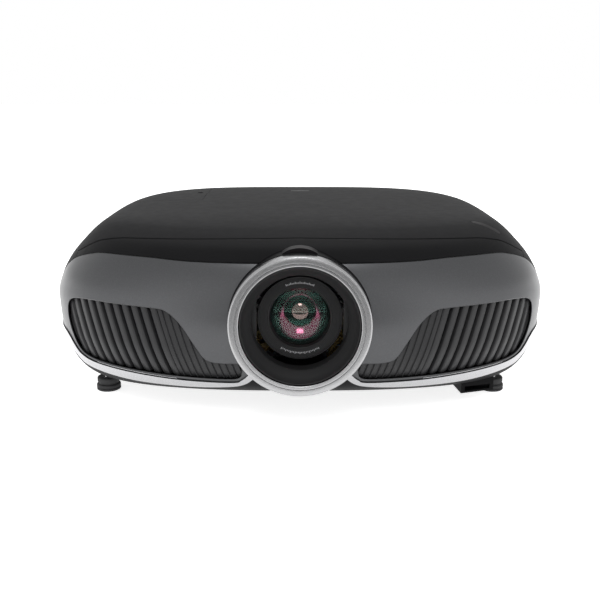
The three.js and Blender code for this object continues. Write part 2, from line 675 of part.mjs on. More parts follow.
// ---------------------------------------------------------------- control panel
const PANEL_X = HALF_W - 18.5;   // back of the button plate
const PANEL_T = 2;
const BUTTON_PROUD = 2.2;
const DOOR_T = 2;
const DOOR_X = PANEL_X + PANEL_T + BUTTON_PROUD + 1.8;
const KEYS_Z = CASE_BOTTOM + 76; // middle row of keys
const ROW_STEP = 8;              // keys above and below the middle row
const PAD_CENTRE = [12, KEYS_Z]; // centre of the four-way keys, y and z
const KEY_STEP = 9.5;
const BUTTONS = [
  { name: 'power_button', at: [-17, KEYS_Z + ROW_STEP], radius: 3.6 },
  { name: 'source_button', at: [-17, KEYS_Z - ROW_STEP], radius: 3 },
  { name: 'menu_button', at: [-7, KEYS_Z + ROW_STEP], radius: 3 },
  { name: 'escape_button', at: [-7, KEYS_Z - ROW_STEP], radius: 3 },
  { name: 'enter_button', at: PAD_CENTRE, radius: 4 },
  { name: 'up_button', at: [PAD_CENTRE[0], PAD_CENTRE[1] + KEY_STEP], radius: 3 },
  { name: 'down_button', at: [PAD_CENTRE[0], PAD_CENTRE[1] - KEY_STEP], radius: 3 },
  { name: 'left_button', at: [PAD_CENTRE[0] - KEY_STEP, PAD_CENTRE[1]], radius: 3 },
  { name: 'right_button', at: [PAD_CENTRE[0] + KEY_STEP, PAD_CENTRE[1]], radius: 3 },
];

function button({ at: [y, z], radius }) {
  const base = rod('x', [0, y, z], radius + 0.8, PANEL_X - 3, PANEL_X - 1.6, 12);
  const stem = rod('x', [0, y, z], radius, PANEL_X - 2, PANEL_X + PANEL_T + BUTTON_PROUD, 12);
  return base.add(stem);
}

function controlPanel() {
  let plate = prismX(roundedBox(DOOR_BAY.y0 - 6, DOOR_BAY.y1 + 6, DOOR_BAY.z0 - 5,
    DOOR_BAY.z1 + 5, 4), PANEL_X, PANEL_X + PANEL_T);
  for (const { at: [y, z], radius } of BUTTONS) {
    plate = plate.subtract(rod('x', [0, y, z], radius + FIT, PANEL_X - 2, PANEL_X + 5, 12));
  }
  return plate;
}

function controlDoor() {
  const leaf = prismX(roundedBox(DOOR_BAY.y0 - 4, DOOR_BAY.y1 + 4, DOOR_BAY.z0 - 2,
    DOOR_BAY.z1 + 2, 2, 2), DOOR_X, DOOR_X + DOOR_T);
  const rib = prismX(roundedBox(DOOR_BAY.y0 + 2, DOOR_BAY.y0 + 5.5, DOOR_BAY.z0 + 7,
    DOOR_BAY.z1 - 7, 1.2, 2), DOOR_X + DOOR_T - 1, DOOR_X + DOOR_T + 4);
  return leaf.add(rib);
}

// ---------------------------------------------------------------- rear connectors
const REAR_FACE = REAR - 17.8;   // outer face of the connector plate
const SOCKET_Z = CASE_BOTTOM + 77;
const REAR_PLATE_T = 2;
const SOCKETS = [
  { name: 'hdmi_socket_1', at: [-118, SOCKET_Z], size: [18, 10], hole: [14, 5.6], depth: 12 },
  { name: 'hdmi_socket_2', at: [-90, SOCKET_Z], size: [18, 10], hole: [14, 5.6], depth: 12 },
  { name: 'usb_socket', at: [-62, SOCKET_Z], size: [16, 10], hole: [12.5, 6], depth: 12 },
  { name: 'network_socket', at: [-34, SOCKET_Z], size: [16, 14], hole: [11.8, 9], depth: 14 },
];
const SOCKET_PROUD = 1;
const INLET = { at: [34, CASE_BOTTOM + 43], size: [31, 24], hole: [25, 17], depth: 16 };

function socketBody({ at: [x, z], size: [w, h], hole: [hw, hh], depth }) {
  const face = REAR_FACE + SOCKET_PROUD;
  const shellPart = prismY(roundedBox(x - w / 2, x + w / 2, z - h / 2, z + h / 2, 1, 1),
    face - depth - 3, face);
  return shellPart.subtract(box(x - hw / 2, x + hw / 2, face - depth, face + 1,
    z - hh / 2, z + hh / 2));
}

function contactTongue({ at: [x, z], hole: [hw, hh], depth }) {
  const face = REAR_FACE + SOCKET_PROUD;
  const half = hw / 2 - 2;
  const low = z + hh / 2 - 1;
  return box(x - half, x + half, face - depth - 1, face - 3, low, z + hh / 2 + 0.5);
}

function socket(spec) {
  return socketBody(spec).add(contactTongue(spec));
}

function powerInlet() {
  let solid = socketBody(INLET);
  const [x, z] = INLET.at;
  const face = REAR_FACE + SOCKET_PROUD;
  for (const [dx, dz] of [[-7, -2], [7, -2], [0, 3]]) {
    solid = solid.add(box(x + dx - 1, x + dx + 1, face - INLET.depth - 1, face - 4,
      z + dz - 2, z + dz + 2));
  }
  return solid;
}

function rearPanel() {
  const outer = bayY(REAR_BAY, -GAP, REAR_FACE - REAR_PLATE_T, REAR + 5);
  const hollow = bayY(REAR_BAY, -GAP - 2, REAR_FACE, REAR + 10);
  let solid = outer.subtract(hollow).intersect(casing(-0.5));
  for (const { at: [x, z], size: [w, h] } of [...SOCKETS, INLET]) {
    solid = solid.subtract(box(x - w / 2 - FIT, x + w / 2 + FIT, REAR_FACE - 5, REAR_FACE + 3,
      z - h / 2 - FIT, z + h / 2 + FIT));
  }
  return solid;
}

function filterCover() {
  let solid = shell.intersect(bayY(FILTER_BAY, -GAP, BAY_START, REAR + FAR));
  for (let z = FILTER_BAY.z0 + 9; z < FILTER_BAY.z1 - 9; z += 7) {
    solid = solid.subtract(prismY(roundedBox(FILTER_BAY.x0 + 10, FILTER_BAY.x1 - 10, z, z + 3,
      1.2, 1), BAY_START, REAR + FAR));
  }
  return solid;
}

function airFilter() {
  const outline = [];
  const pleats = 16;
  const [x0, x1] = [FILTER_BAY.x0 + 6, FILTER_BAY.x1 - 12];
  for (let i = 0; i <= pleats; i += 1) {
    outline.push([x0 + ((x1 - x0) * i) / pleats, REAR - (i % 2 ? 35.8 : 41.8)]);
  }
  const back = outline.map(([x, y]) => [x, y - 2.4]).reverse();
  return prismZ(outline.concat(back), FILTER_BAY.z0 + 6, FILTER_BAY.z1 - 6);
}

// ---------------------------------------------------------------- feet and underside
function footPad(side) {
  return turned([[0, 0], [PAD_R - 0.8, 0], [PAD_R, 1], [PAD_R, 6], [PAD_R - 2, 7],
    [PAD_R - 2, 9], [PAD_R - 1, 10], [PAD_R - 1, 13], [PAD_R - 3, 14.5], [STUD_R + 0.6, 14.5],
    [STUD_R + 0.6, 4], [0, 4]], 'z', [side * FOOT_X, FOOT_Y, 0], 20);
}

function footStud(side) {
  const from = 4.4;
  const to = CASE_BOTTOM + 30;
  const profile = [[0, from], [STUD_R, from]];
  for (let z = 10; z < to - 2; z += 6) {
    profile.push([STUD_R, z], [STUD_R - 0.5, z + 3]);
  }
  profile.push([STUD_R, to - 1], [STUD_R - 1, to], [0, to]);
  return turned(profile, 'z', [side * FOOT_X, FOOT_Y, 0], 10);
}

function rearFoot(side) {
  return turned([[0, 0], [10.5, 0], [11.5, 1], [11.5, 5], [10, 6], [10, CASE_BOTTOM - 0.3],
    [0, CASE_BOTTOM - 0.3]], 'z', [side * REAR_FOOT_X, REAR_FOOT_Y, 0], 20);
}

function undersideDuct() {
  const [x, y, low] = [FOOT_X - 24, FRONT + 119, CASE_BOTTOM - 10];
  const outline = [[x - 19, y - 16], [x + 17, y - 4], [x + 19, y + 10], [x - 23, y + 14]];
  const mouth = [[x - 15, low + 2], [x + 13, low + 2], [x + 13, low + 7], [x - 15, low + 7]];
  return prismZ(outline, low, low + 32)
    .subtract(casing(0.3))
    .subtract(box(x - 37, x + 33, y - 24, y + 26, low + 20, low + 37))
    .subtract(prismY(mouth, y - 94, y));
}

// ---------------------------------------------------------------- inside
const ENGINE = { floor: LENS_HEIGHT - 45.5, top: LENS_HEIGHT + 36.5, wall: 3 };
const ENGINE_Y = BARREL_END + 4; // front wall of the optical engine
const PRISM_Y = ENGINE_Y + 42;   // middle of the prism
const PRISM_HALF = 18;
const LIGHT_Z = LENS_HEIGHT - 8.5;

function opticalEngine() {
  const y = ENGINE_Y;
  const plan = [[-58, y], [58, y], [58, y + 209], [-112, y + 209], [-112, y + 164],
    [-58, y + 164]];
  const { floor, top, wall } = ENGINE;
  const pedestal = box(-20, 20, PRISM_Y - 20, PRISM_Y + 20, floor, LENS_HEIGHT - 18.5);
  return prismZ(plan, floor, top)
    .subtract(prismZ(grown(plan, -wall), floor + wall, top + 5))
    .add(pedestal)
    .subtract(lensRod(TUBE_R - 4, y - 6, y + 6, 32))
    .subtract(rod('x', [0, LAMP_Y, LIGHT_Z], 18, -120, -100, 24));
}

function prism() {
  return box(-PRISM_HALF, PRISM_HALF, PRISM_Y - PRISM_HALF, PRISM_Y + PRISM_HALF,
    LENS_HEIGHT - 18.1, LENS_HEIGHT + 17.5);
}

const LAMP = {
  x0: -205, x1: -114, y0: LAMP_Y - 41, y1: LAMP_Y + 43, z0: LIGHT_Z - 45, z1: LIGHT_Z + 45,
};

function lampHousing() {
  const { x0, x1, y0, y1, z0, z1 } = LAMP;
  return box(x0, x1, y0, y1, z0, z1).subtract(box(x0 + 3, x1 + 5, y0 + 3, y1 - 3, z0 + 3, z1 - 3));
}

function lampReflector() {
  const start = LAMP.x0 + 8;
  return turned([[6, start], [9, start], [9, start + 8], [24, start + 22], [34, start + 46],
    [34, start + 50], [31, start + 50], [31, start + 46], [22, start + 24], [6, start + 10]],
  'x', [0, (LAMP.y0 + LAMP.y1) / 2, LIGHT_Z], 20);
}

const FAN = { at: [-148, CASE_BOTTOM + 72], size: 72, y0: FRONT + 97, y1: FRONT + 122, bore: 33 };

function fanFrame() {
  const [x, z] = FAN.at;
  const half = FAN.size / 2;
  const frame = prismY(roundedBox(x - half, x + half, z - half, z + half, 5), FAN.y0, FAN.y1);
  const hub = rod('y', [x, 0, z], 13, FAN.y1 - 3, FAN.y1);
  const arm = box(-2, 2, FAN.y1 - 3, FAN.y1, 8, FAN.bore + 1);
  let spider = hub;
  for (const turn of [25, 145, 265]) {
    spider = spider.add(arm.rotate([0, turn, 0]).translate([x, 0, z]));
  }
  return frame.subtract(rod('y', [x, 0, z], FAN.bore, FAN.y0 - 1, FAN.y1 + 1, 40)).add(spider);
}

const BLADES = 7;
const BLADE_TWIST = 35;          // degrees
const BLADE_CHORD = 15;

function fanRotor() {
  const [x, z] = FAN.at;
  const middle = (FAN.y0 + FAN.y1) / 2;
  let solid = rod('y', [0, 0, 0], 14, FAN.y0 + 3 - middle, FAN.y1 - 4 - middle, 24);
  const blade = box(-1, 1, -BLADE_CHORD / 2, BLADE_CHORD / 2, 12, FAN.bore - 2.5)
    .rotate([0, 0, BLADE_TWIST]);
  for (let i = 0; i < BLADES; i += 1) {
    solid = solid.add(blade.rotate([0, (360 * i) / BLADES, 0]));
  }
  return solid.translate([x, middle, z]);
}

// a circuit board with block components: board box, then each component's box with its height
function circuit([x0, x1, y0, y1], low, thickness, parts) {
  return parts.reduce((solid, [px0, px1, py0, py1, height]) => (
    solid.add(box(px0, px1, py0, py1, low + thickness - 1, low + height))),
  box(x0, x1, y0, y1, low, low + thickness));
}

function powerSupply() {
  const x = caseX(100);
  return circuit([x, x + 122, -50, 120], caseZ(42), 3,
    [[x + 8, x + 48, -40, 0, 34], [x + 60, x + 105, -30, 30, 26],
      [x + 12, x + 50, 20, 70, 38], [x + 65, x + 110, 50, 100, 32]]);
}

function mainBoard() {
  const x = caseX(74);
  return circuit([x, x + 138, -85, 145], caseZ(150), 2,
    [[x + 16, x + 56, -60, -20, 8], [x + 71, x + 111, 10, 50, 10], [x + 21, x + 66, 80, 130, 6],
      [x + 86, x + 116, -50, -20, 12]]);
}

// ---------------------------------------------------------------- materials
const looks = {
  matteBlack: { color: 0x2b2c2e, roughness: 0.6, metalness: 0 },
  glossBlack: { color: 0x111214, roughness: 0.25, metalness: 0 },
  gunmetal: { color: 0x5d5f63, roughness: 0.4, metalness: 0.6 },
  silver: { color: 0xbfc1c4, roughness: 0.3, metalness: 0.9 },
  rubber: { color: 0x1a1a1b, roughness: 0.9, metalness: 0 },
  steel: { color: 0x9a9da1, roughness: 0.35, metalness: 1 },
  glass: { color: 0x2c3a3c, roughness: 0.05, metalness: 0 },
  board: { color: 0x1d5c3a, roughness: 0.5, metalness: 0 },
  filter: { color: 0xd8d6cc, roughness: 0.95, metalness: 0 },
};

const projector = new THREE.Group();

function add(name, solid, look) {
  const { vertProperties, triVerts } = solid.getMesh();
  const geometry = new THREE.BufferGeometry();
  geometry.setAttribute('position', new THREE.BufferAttribute(vertProperties, 3));
  geometry.setIndex(new THREE.BufferAttribute(triVerts, 1));
  const mesh = new THREE.Mesh(geometry, new THREE.MeshStandardMaterial(looks[look]));
  mesh.name = name;
  projector.add(mesh);
}

// ---------------------------------------------------------------- assembly
const SIDES = [['left', -1], ['right', 1]];

add('top_cover', topCover(), 'matteBlack');
add('brow', brow(), 'matteBlack');
add('lower_case', lowerCase(), 'matteBlack');
add('front_panel', frontPanel(), 'gunmetal');
for (const [side, sign] of SIDES) {
  add(`trim_${side}`, trim(sign), 'silver');
  add(`grille_${side}`, grille(sign), 'matteBlack');
  add(`shutter_${side}`, shutterLeaf(sign), 'matteBlack');
  add(`foot_pad_${side}`, footPad(sign), 'rubber');
  add(`foot_stud_${side}`, footStud(sign), 'steel');
  add(`rear_foot_${side}`, rearFoot(sign), 'rubber');
}
add('lens_ring', lensRing(), 'silver');
add('lens_collar', lensCollar(), 'matteBlack');
add('lens_funnel', lensFunnel(), 'matteBlack');
add('front_receiver', frontReceiver(), 'glossBlack');
add('deck_receiver', deckWindow(RECEIVER_AT, RECEIVER_SIZE, 0), 'glossBlack');
add('status_window', deckWindow(STATUS_AT, STATUS_SIZE, STATUS_TURN), 'glossBlack');
add('lamp_cover', lampCover(), 'matteBlack');
add('lamp_cover_screw', lampCoverScrew(), 'steel');
add('control_panel', controlPanel(), 'matteBlack');
add('control_door', controlDoor(), 'matteBlack');
for (const spec of BUTTONS) add(spec.name, button(spec), 'matteBlack');
add('rear_panel', rearPanel(), 'matteBlack');
for (const spec of SOCKETS) add(spec.name, socket(spec), 'steel');
add('power_inlet', powerInlet(), 'glossBlack');
add('filter_cover', filterCover(), 'matteBlack');
add('air_filter', airFilter(), 'filter');
add('underside_duct', undersideDuct(), 'matteBlack');
add('lens_barrel', lensBarrel(), 'matteBlack');
add('front_glass', frontGlass(), 'glass');
add('focus_ring', lensGear('focus'), 'matteBlack');
add('zoom_ring', lensGear('zoom'), 'matteBlack');
add('focus_pinion', pinion('focus'), 'steel');
add('zoom_pinion', pinion('zoom'), 'steel');
add('shift_carriage', shiftCarriage(), 'steel');
add('shift_plate', shiftPlate(), 'steel');
add('optical_engine', opticalEngine(), 'steel');
add('prism', prism(), 'glass');
add('lamp_housing', lampHousing(), 'steel');
add('lamp_reflector', lampReflector(), 'silver');
add('fan_frame', fanFrame(), 'matteBlack');
add('fan_rotor', fanRotor(), 'glossBlack');
add('power_supply', powerSupply(), 'board');
add('main_board', mainBoard(), 'board');

export default projector;
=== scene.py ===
import json
import math

import bpy
import numpy as np
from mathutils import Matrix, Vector


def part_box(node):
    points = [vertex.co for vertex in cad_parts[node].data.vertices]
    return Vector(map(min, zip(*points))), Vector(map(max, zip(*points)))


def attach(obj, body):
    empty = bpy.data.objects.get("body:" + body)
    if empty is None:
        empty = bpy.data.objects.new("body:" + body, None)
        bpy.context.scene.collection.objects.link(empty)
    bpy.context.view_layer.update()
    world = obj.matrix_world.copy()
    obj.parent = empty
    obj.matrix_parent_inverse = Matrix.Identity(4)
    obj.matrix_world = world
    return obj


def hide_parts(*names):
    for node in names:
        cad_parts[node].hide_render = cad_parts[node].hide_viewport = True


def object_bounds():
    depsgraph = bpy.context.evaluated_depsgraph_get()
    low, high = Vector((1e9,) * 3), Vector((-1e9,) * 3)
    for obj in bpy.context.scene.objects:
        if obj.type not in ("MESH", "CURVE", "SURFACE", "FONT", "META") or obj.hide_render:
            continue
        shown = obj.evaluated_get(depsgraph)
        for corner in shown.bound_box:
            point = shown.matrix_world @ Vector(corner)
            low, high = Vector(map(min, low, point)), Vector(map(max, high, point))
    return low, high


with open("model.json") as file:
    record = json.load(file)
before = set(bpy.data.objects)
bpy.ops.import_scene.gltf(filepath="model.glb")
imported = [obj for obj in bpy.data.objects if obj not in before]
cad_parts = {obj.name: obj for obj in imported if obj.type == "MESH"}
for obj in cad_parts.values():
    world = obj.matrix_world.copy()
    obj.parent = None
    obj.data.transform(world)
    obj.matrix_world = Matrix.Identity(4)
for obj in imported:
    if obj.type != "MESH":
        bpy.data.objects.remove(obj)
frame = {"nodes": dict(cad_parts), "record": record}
CAD_LOW, CAD_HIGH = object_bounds()

# Lengths in this script are millimetres in the CAD's frame; MM turns them into metres.
MM = 0.001


def node_box(node):
    """Lowest and highest corner of a CAD node, in millimetres."""
    low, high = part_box(node)
    return np.array(low) / MM, np.array(high) / MM


def node_middle(node):
    low, high = node_box(node)
    return (low + high) / 2


# ---------------------------------------------------------------- sizes from the frame
BOX_LOW = np.array(CAD_LOW) / MM
BOX_HIGH = np.array(CAD_HIGH) / MM
HALF_W = (BOX_HIGH[0] - BOX_LOW[0]) / 2
CASE_TOP = BOX_HIGH[2]
CASE_BOTTOM = node_box("lower_case")[0][2]
FRONT = BOX_LOW[1]
REAR = BOX_HIGH[1]
RING_PROUD = 13
CASE_FRONT = FRONT + RING_PROUD
LENS = node_middle("lens_ring")
LENS_Z = LENS[2]
COLLAR_LOW, COLLAR_HIGH = node_box("lens_collar")
COLLAR_R = (COLLAR_HIGH[0] - COLLAR_LOW[0]) / 2
RING_LOW, RING_HIGH = node_box("lens_ring")
RING_R = (RING_HIGH[0] - RING_LOW[0]) / 2
BARREL_LOW, BARREL_HIGH = node_box("lens_barrel")
BARREL_Y = BARREL_LOW[1]

WALL = 2.6
GAP = 0.4
FIT = 0.35
WAIST_Y = -40
FAR = 40
VENT_BACK = -60                 # the cuts for the vents run back to here
RIM_BACK = -150                 # the hole for the lens collar runs back to here
BAY_START = 150                 # rear openings are cut from here backwards
COARSE = (144, 3)               # columns and substeps of the hidden inner skins
COLUMNS = 288
SUBSTEPS = 6
SHARP = math.radians(28)


# ---------------------------------------------------------------- casing form
# Each station: share of the height, half width, reach to the front and to the rear of
# the waist, and the power of the front corners, as in the CAD.
STATIONS = np.array([
    [0.000, 0.854, 0.570, 0.879, 2.80],
    [0.024, 0.888, 0.651, 0.913, 2.60],
    [0.059, 0.919, 0.733, 0.943, 2.45],
    [0.112, 0.946, 0.826, 0.966, 2.35],
    [0.194, 0.975, 0.901, 0.981, 2.25],
    [0.359, 0.994, 0.983, 1.000, 2.25],
    [0.524, 1.000, 1.000, 1.000, 2.25],
    [0.641, 0.979, 0.994, 0.996, 2.30],
    [0.759, 0.935, 0.983, 0.989, 2.35],
    [0.853, 0.881, 0.959, 0.977, 2.40],
    [0.912, 0.842, 0.895, 0.966, 2.40],
    [0.947, 0.812, 0.779, 0.958, 2.45],
    [0.971, 0.777, 0.651, 0.940, 2.60],
    [0.985, 0.719, 0.547, 0.906, 2.80],
    [0.996, 0.577, 0.372, 0.800, 2.90],
    [1.000, 0.385, 0.209, 0.604, 3.00],
])
REAR_POWER = 3.8
FRONT_REACH = WAIST_Y - CASE_FRONT
REAR_REACH = REAR - WAIST_Y
MIDDLE = np.array([0, (CASE_FRONT + REAR) / 2, (CASE_BOTTOM + CASE_TOP) / 2])


def monotone(values, places):
    """Smooth interpolation that never overshoots, through values at 0, 1, 2, ..."""
    steps = np.diff(values, axis=0)
    before, after = steps[:-1], steps[1:]
    same_way = before * after > 0
    total = np.where(same_way, before + after, 1.0)
    inner = np.where(same_way, 2 * before * after / total, 0.0)
    slopes = np.vstack([steps[:1], inner, steps[-1:]])
    index = np.clip(places.astype(int), 0, len(values) - 2)
    t = (places - index)[:, None]
    h00 = 2 * t**3 - 3 * t**2 + 1
    h10 = t**3 - 2 * t**2 + t
    h01 = -2 * t**3 + 3 * t**2
    h11 = t**3 - t**2
    return (h00 * values[index] + h10 * slopes[index]
            + h01 * values[index + 1] + h11 * slopes[index + 1])


def plan(station, angles):
    """The casing's outline in plan at one station."""
    share, half, front, rear, power = station
    c, s = np.cos(angles), np.sin(angles)
    n = np.where(s < 0, power, REAR_POWER)
    reach = np.where(s < 0, front * FRONT_REACH, rear * REAR_REACH)
    x = half * HALF_W * np.sign(c) * np.abs(c) ** (2 / n)
    y = WAIST_Y + reach * np.sign(s) * np.abs(s) ** (2 / n)
    z = np.full_like(x, CASE_BOTTOM + share * (CASE_TOP - CASE_BOTTOM))
    return np.stack([x, y, z], axis=1)


def even_angles(columns):
    """Angles that space the points of the widest outline evenly."""
    dense = np.linspace(0, 2 * np.pi, 80001)
    outline = plan(STATIONS[6], dense)
    run = np.concatenate([[0], np.cumsum(np.linalg.norm(np.diff(outline, axis=0), axis=1))])
    return np.interp(np.linspace(0, run[-1], columns, endpoint=False), run, dense)


ANGLES = even_angles(COLUMNS)
DENSE = monotone(STATIONS, np.linspace(0, len(STATIONS) - 1, 3001))
DENSE_Z = CASE_BOTTOM + DENSE[:, 0] * (CASE_TOP - CASE_BOTTOM)


def front_skin(x, z):
    """Point of the casing's front surface seen at (x, z)."""
    half = np.interp(z, DENSE_Z, DENSE[:, 1]) * HALF_W
    reach = np.interp(z, DENSE_Z, DENSE[:, 2]) * FRONT_REACH
    power = np.interp(z, DENSE_Z, DENSE[:, 4])
    share = min(abs(x) / half, 0.9995)
    depth = reach * (1 - share**power) ** (1 / power)
    return np.array([math.copysign(share * half, x), WAIST_Y - depth, z])


def skin_normal(x, z):
    step = 0.2
    along = front_skin(x + step, z) - front_skin(x - step, z)
    up = front_skin(x, z + step) - front_skin(x, z - step)
    normal = np.cross(along, up)
    return normal / max(np.linalg.norm(normal), 1e-9)


# ---------------------------------------------------------------- mesh helpers
def make_object(name, points, faces):
    mesh = bpy.data.meshes.new(name)
    mesh.from_pydata((np.asarray(points) * MM).tolist(), [], faces)
    mesh.update()
    piece = bpy.data.objects.new(name, mesh)
    bpy.context.scene.collection.objects.link(piece)
    return piece


def facing_out(points, faces):
    """The faces, turned over if they enclose a negative volume."""
    points = np.asarray(points)
    total = 0.0
    for face in faces:
        a = points[face[0]]
        for i in range(1, len(face) - 1):
            total += np.dot(a, np.cross(points[face[i]], points[face[i + 1]]))
    return faces if total > 0 else [tuple(reversed(face)) for face in faces]


def solid(name, points, faces):
    return make_object(name, points, facing_out(points, faces))


def drop(*pieces):
    for piece in pieces:
        mesh = piece.data
        bpy.data.objects.remove(piece)
        bpy.data.meshes.remove(mesh)


def combine(piece, tool, operation, keep=False):
    """Cuts or joins two closed solids, and drops the tool unless it is kept."""
    modifier = piece.modifiers.new("combine", "BOOLEAN")
    modifier.operation = operation
    modifier.solver = "MANIFOLD"
    modifier.object = tool
    graph = bpy.context.evaluated_depsgraph_get()
    mesh = bpy.data.meshes.new_from_object(piece.evaluated_get(graph))
    piece.modifiers.clear()
    old = piece.data
    piece.data = mesh
    bpy.data.meshes.remove(old)
    if not keep:
        drop(tool)
    return piece


def cut(piece, *tools, keep=False):
    for tool in tools:
        combine(piece, tool, "DIFFERENCE", keep)
    return piece


def common(piece, tool, keep=False):
    return combine(piece, tool, "INTERSECT", keep)


def join(piece, *tools):
    for tool in tools:
        combine(piece, tool, "UNION")
    return piece


def copy_of(piece, name):
    twin = bpy.data.objects.new(name, piece.data.copy())
    bpy.context.scene.collection.objects.link(twin)
    return twin


def loops_to_solid(name, loops, closed=False):
    """A solid skinned over loops of equal length, capped at both ends unless closed."""
    points = np.concatenate(loops)
    count, around = len(loops), len(loops[0])
    faces = []
    for level in range(count if closed else count - 1):
        low, high = level * around, ((level + 1) % count) * around
        for i in range(around):
            j = (i + 1) % around
            faces.append((low + i, low + j, high + j, high + i))
    if not closed:
        faces.append(tuple(reversed(range(around))))
        faces.append(tuple(range((count - 1) * around, count * around)))
    return solid(name, points, faces)


def casing(offset, columns=None, substeps=SUBSTEPS):
    """The whole casing as a solid, grown outwards (inwards when negative)."""
    angles = ANGLES if columns is None else even_angles(columns)
    places = np.linspace(0, len(STATIONS) - 1, (len(STATIONS) - 1) * substeps + 1)
    scale = 1 + offset / np.array([HALF_W, REAR - MIDDLE[1], CASE_TOP - MIDDLE[2]])
    loops = [MIDDLE + (plan(row, angles) - MIDDLE) * scale for row in monotone(STATIONS, places)]
    return loops_to_solid("casing", loops)


def block(x0, x1, y0, y1, z0, z1):
    loop = np.array([[x0, y0, z0], [x1, y0, z0], [x1, y1, z0], [x0, y1, z0]], float)
    return loops_to_solid("block", [loop, loop + np.array([0, 0, z1 - z0])])


AXES = {"x": (1, 2, 0), "y": (0, 2, 1), "z": (0, 1, 2)}


def prism(outline, axis, low, high):
    """An outline in the two other axes, run along one axis."""
    u, v, w = AXES[axis]
    loop = np.zeros((len(outline), 3))
    loop[:, u] = [p[0] for p in outline]
    loop[:, v] = [p[1] for p in outline]
    ends = []
    for place in (low, high):
        end = loop.copy()
        end[:, w] = place
        ends.append(end)
    return loops_to_solid("prism", ends)


def lathe(name, profile, axis, centre, segments=128):
    """A profile of (radius, station) pairs turned about an axis.

    The profile either closes on itself or starts and ends on the axis."""
    u, v, w = AXES[axis]
    turns = np.linspace(0, 2 * np.pi, segments, endpoint=False)
    points, rings = [], []
    for radius, station in profile:
        start = len(points)
        if radius == 0:
            point = np.array(centre, float)
            point[w] += station
            points.append(point)
            rings.append([start] * segments)
            continue
        for turn in turns:
            point = np.array(centre, float)
            point[u] += radius * math.cos(turn)
            point[v] += radius * math.sin(turn)
            point[w] += station
            points.append(point)
        rings.append(list(range(start, start + segments)))
    if profile[0][0] != 0:
        rings.append(rings[0])
    faces = []
    for low, high in zip(rings, rings[1:]):
        for i in range(segments):
            j = (i + 1) % segments
            corners = [low[i], low[j], high[j], high[i]]
            unique = tuple(dict.fromkeys(corners))
            if len(unique) > 2:
                faces.append(unique)
    return solid(name, points, faces)


def rod(axis, centre, radius, low, high, segments=48):
    return lathe("rod", [(0, low), (radius, low), (radius, high), (0, high)], axis, centre,
                 segments)


def lens_rod(radius, low, high, segments=160):
    return rod("y", (0, 0, LENS_Z), radius, low, high, segments)


# ---------------------------------------------------------------- outlines
def smooth(points, per_span=10):
    """A smooth line through the points."""
    points = [np.array(p, float) for p in points]
    last = len(points) - 1
    line = []
    for i in range(last):
        p0, p1 = points[max(i - 1, 0)], points[i]
        p2, p3 = points[i + 1], points[min(i + 2, last)]
        v0, v1 = (p2 - p0) / 2, (p3 - p1) / 2
        for step in range(per_span):
            t = step / per_span
            line.append((2 * p1 - 2 * p2 + v0 + v1) * t**3
                        + (-3 * p1 + 3 * p2 - 2 * v0 - v1) * t**2 + v0 * t + p1)
    line.append(points[last])
    return [tuple(p) for p in line]


def mirrored(points):
    return [(-u, v) for u, v in points]


def across_centre(half):
    left = list(reversed(mirrored(half)))
    return left + (list(half[1:]) if half[0][0] == 0 else list(half))


def grown(outline, distance):
    """A closed outline moved outwards by a distance."""
    points = np.array(outline, float)
    ahead = np.roll(points, -1, axis=0)
    behind = np.roll(points, 1, axis=0)
    area = np.sum(points[:, 0] * ahead[:, 1] - ahead[:, 0] * points[:, 1])
    side = 1 if area > 0 else -1

    def outward(step):
        normal = np.stack([step[:, 1], -step[:, 0]], axis=1)
        return normal / np.maximum(np.linalg.norm(normal, axis=1, keepdims=True), 1e-9)

    before, after = outward(points - behind), outward(ahead - points)
    normal = before + after
    normal /= np.maximum(np.linalg.norm(normal, axis=1, keepdims=True), 1e-9)
    reach = side * distance / np.maximum(0.5, np.sum(normal * after, axis=1))
    return [tuple(p) for p in points + normal * reach[:, None]]


def rounded_box(u0, u1, v0, v1, radius, steps=8):
    corners = [(u1 - radius, v1 - radius), (u0 + radius, v1 - radius),
               (u0 + radius, v0 + radius), (u1 - radius, v0 + radius)]
    outline = []
    for quarter, (cu, cv) in enumerate(corners):
        for i in range(steps + 1):
            angle = (quarter + i / steps) * math.pi / 2
            outline.append((cu + radius * math.cos(angle), cv + radius * math.sin(angle)))
    return outline


SIDE = HALF_W + 4
FASCIA_TOP = smooth([(0, 168.6), (96, 168.6), (142, 169.6), (186, 168), (206, 164), (226, 156),
                     (240, 146), (252, 132), (SIDE, 124)])
DECK_SEAM = smooth([(0, 185.4), (91, 184.2), (163, 181.7), (190, 178), (206, 172.5), (228, 160)])
TRIM_TOP = smooth([(48.8, 59), (56, 51.5), (66, 47.6), (115, 47.6), (158, 49.7), (193, 51.7),
                   (214, 53.5), (226, 58.3), (232.5, 66), (238, 74), (246, 79), (SIDE, 80)])
TRIM_BOTTOM = smooth([(43, 55), (52, 46.5), (64, 41.5), (90, 38), (117, 37), (161, 37.8),
                      (195, 41), (222, 45), (233, 52.5), (240, 58), (250, 62), (SIDE, 64)])
GRILLE_OUTLINE = smooth([(56, 56), (66, 51.6), (115, 51.6), (154, 53), (193, 55), (214, 57.5),
                         (225, 64), (232, 80), (236, 100), (231, 116), (212, 121.5),
                         (176, 123), (140, 123), (126, 121), (113, 110.5), (100.4, 91.2),
                         (92, 78), (86, 73), (74, 71.2), (57, 71), (55, 64)], 6)
HIDDEN_BY_RING = (36, 68)
FASCIA_END = -32
BROW_END = -100
PART_LINE = 71
FASCIA_OUTLINE = (across_centre(FASCIA_TOP)
                  + list(reversed(across_centre([HIDDEN_BY_RING] + TRIM_TOP))))
BROW_OUTLINE = (across_centre(DECK_SEAM)
                + list(reversed(across_centre([p for p in FASCIA_TOP if p[0] < 229]))))
TRIM_OUTLINE = TRIM_TOP + list(reversed(TRIM_BOTTOM))
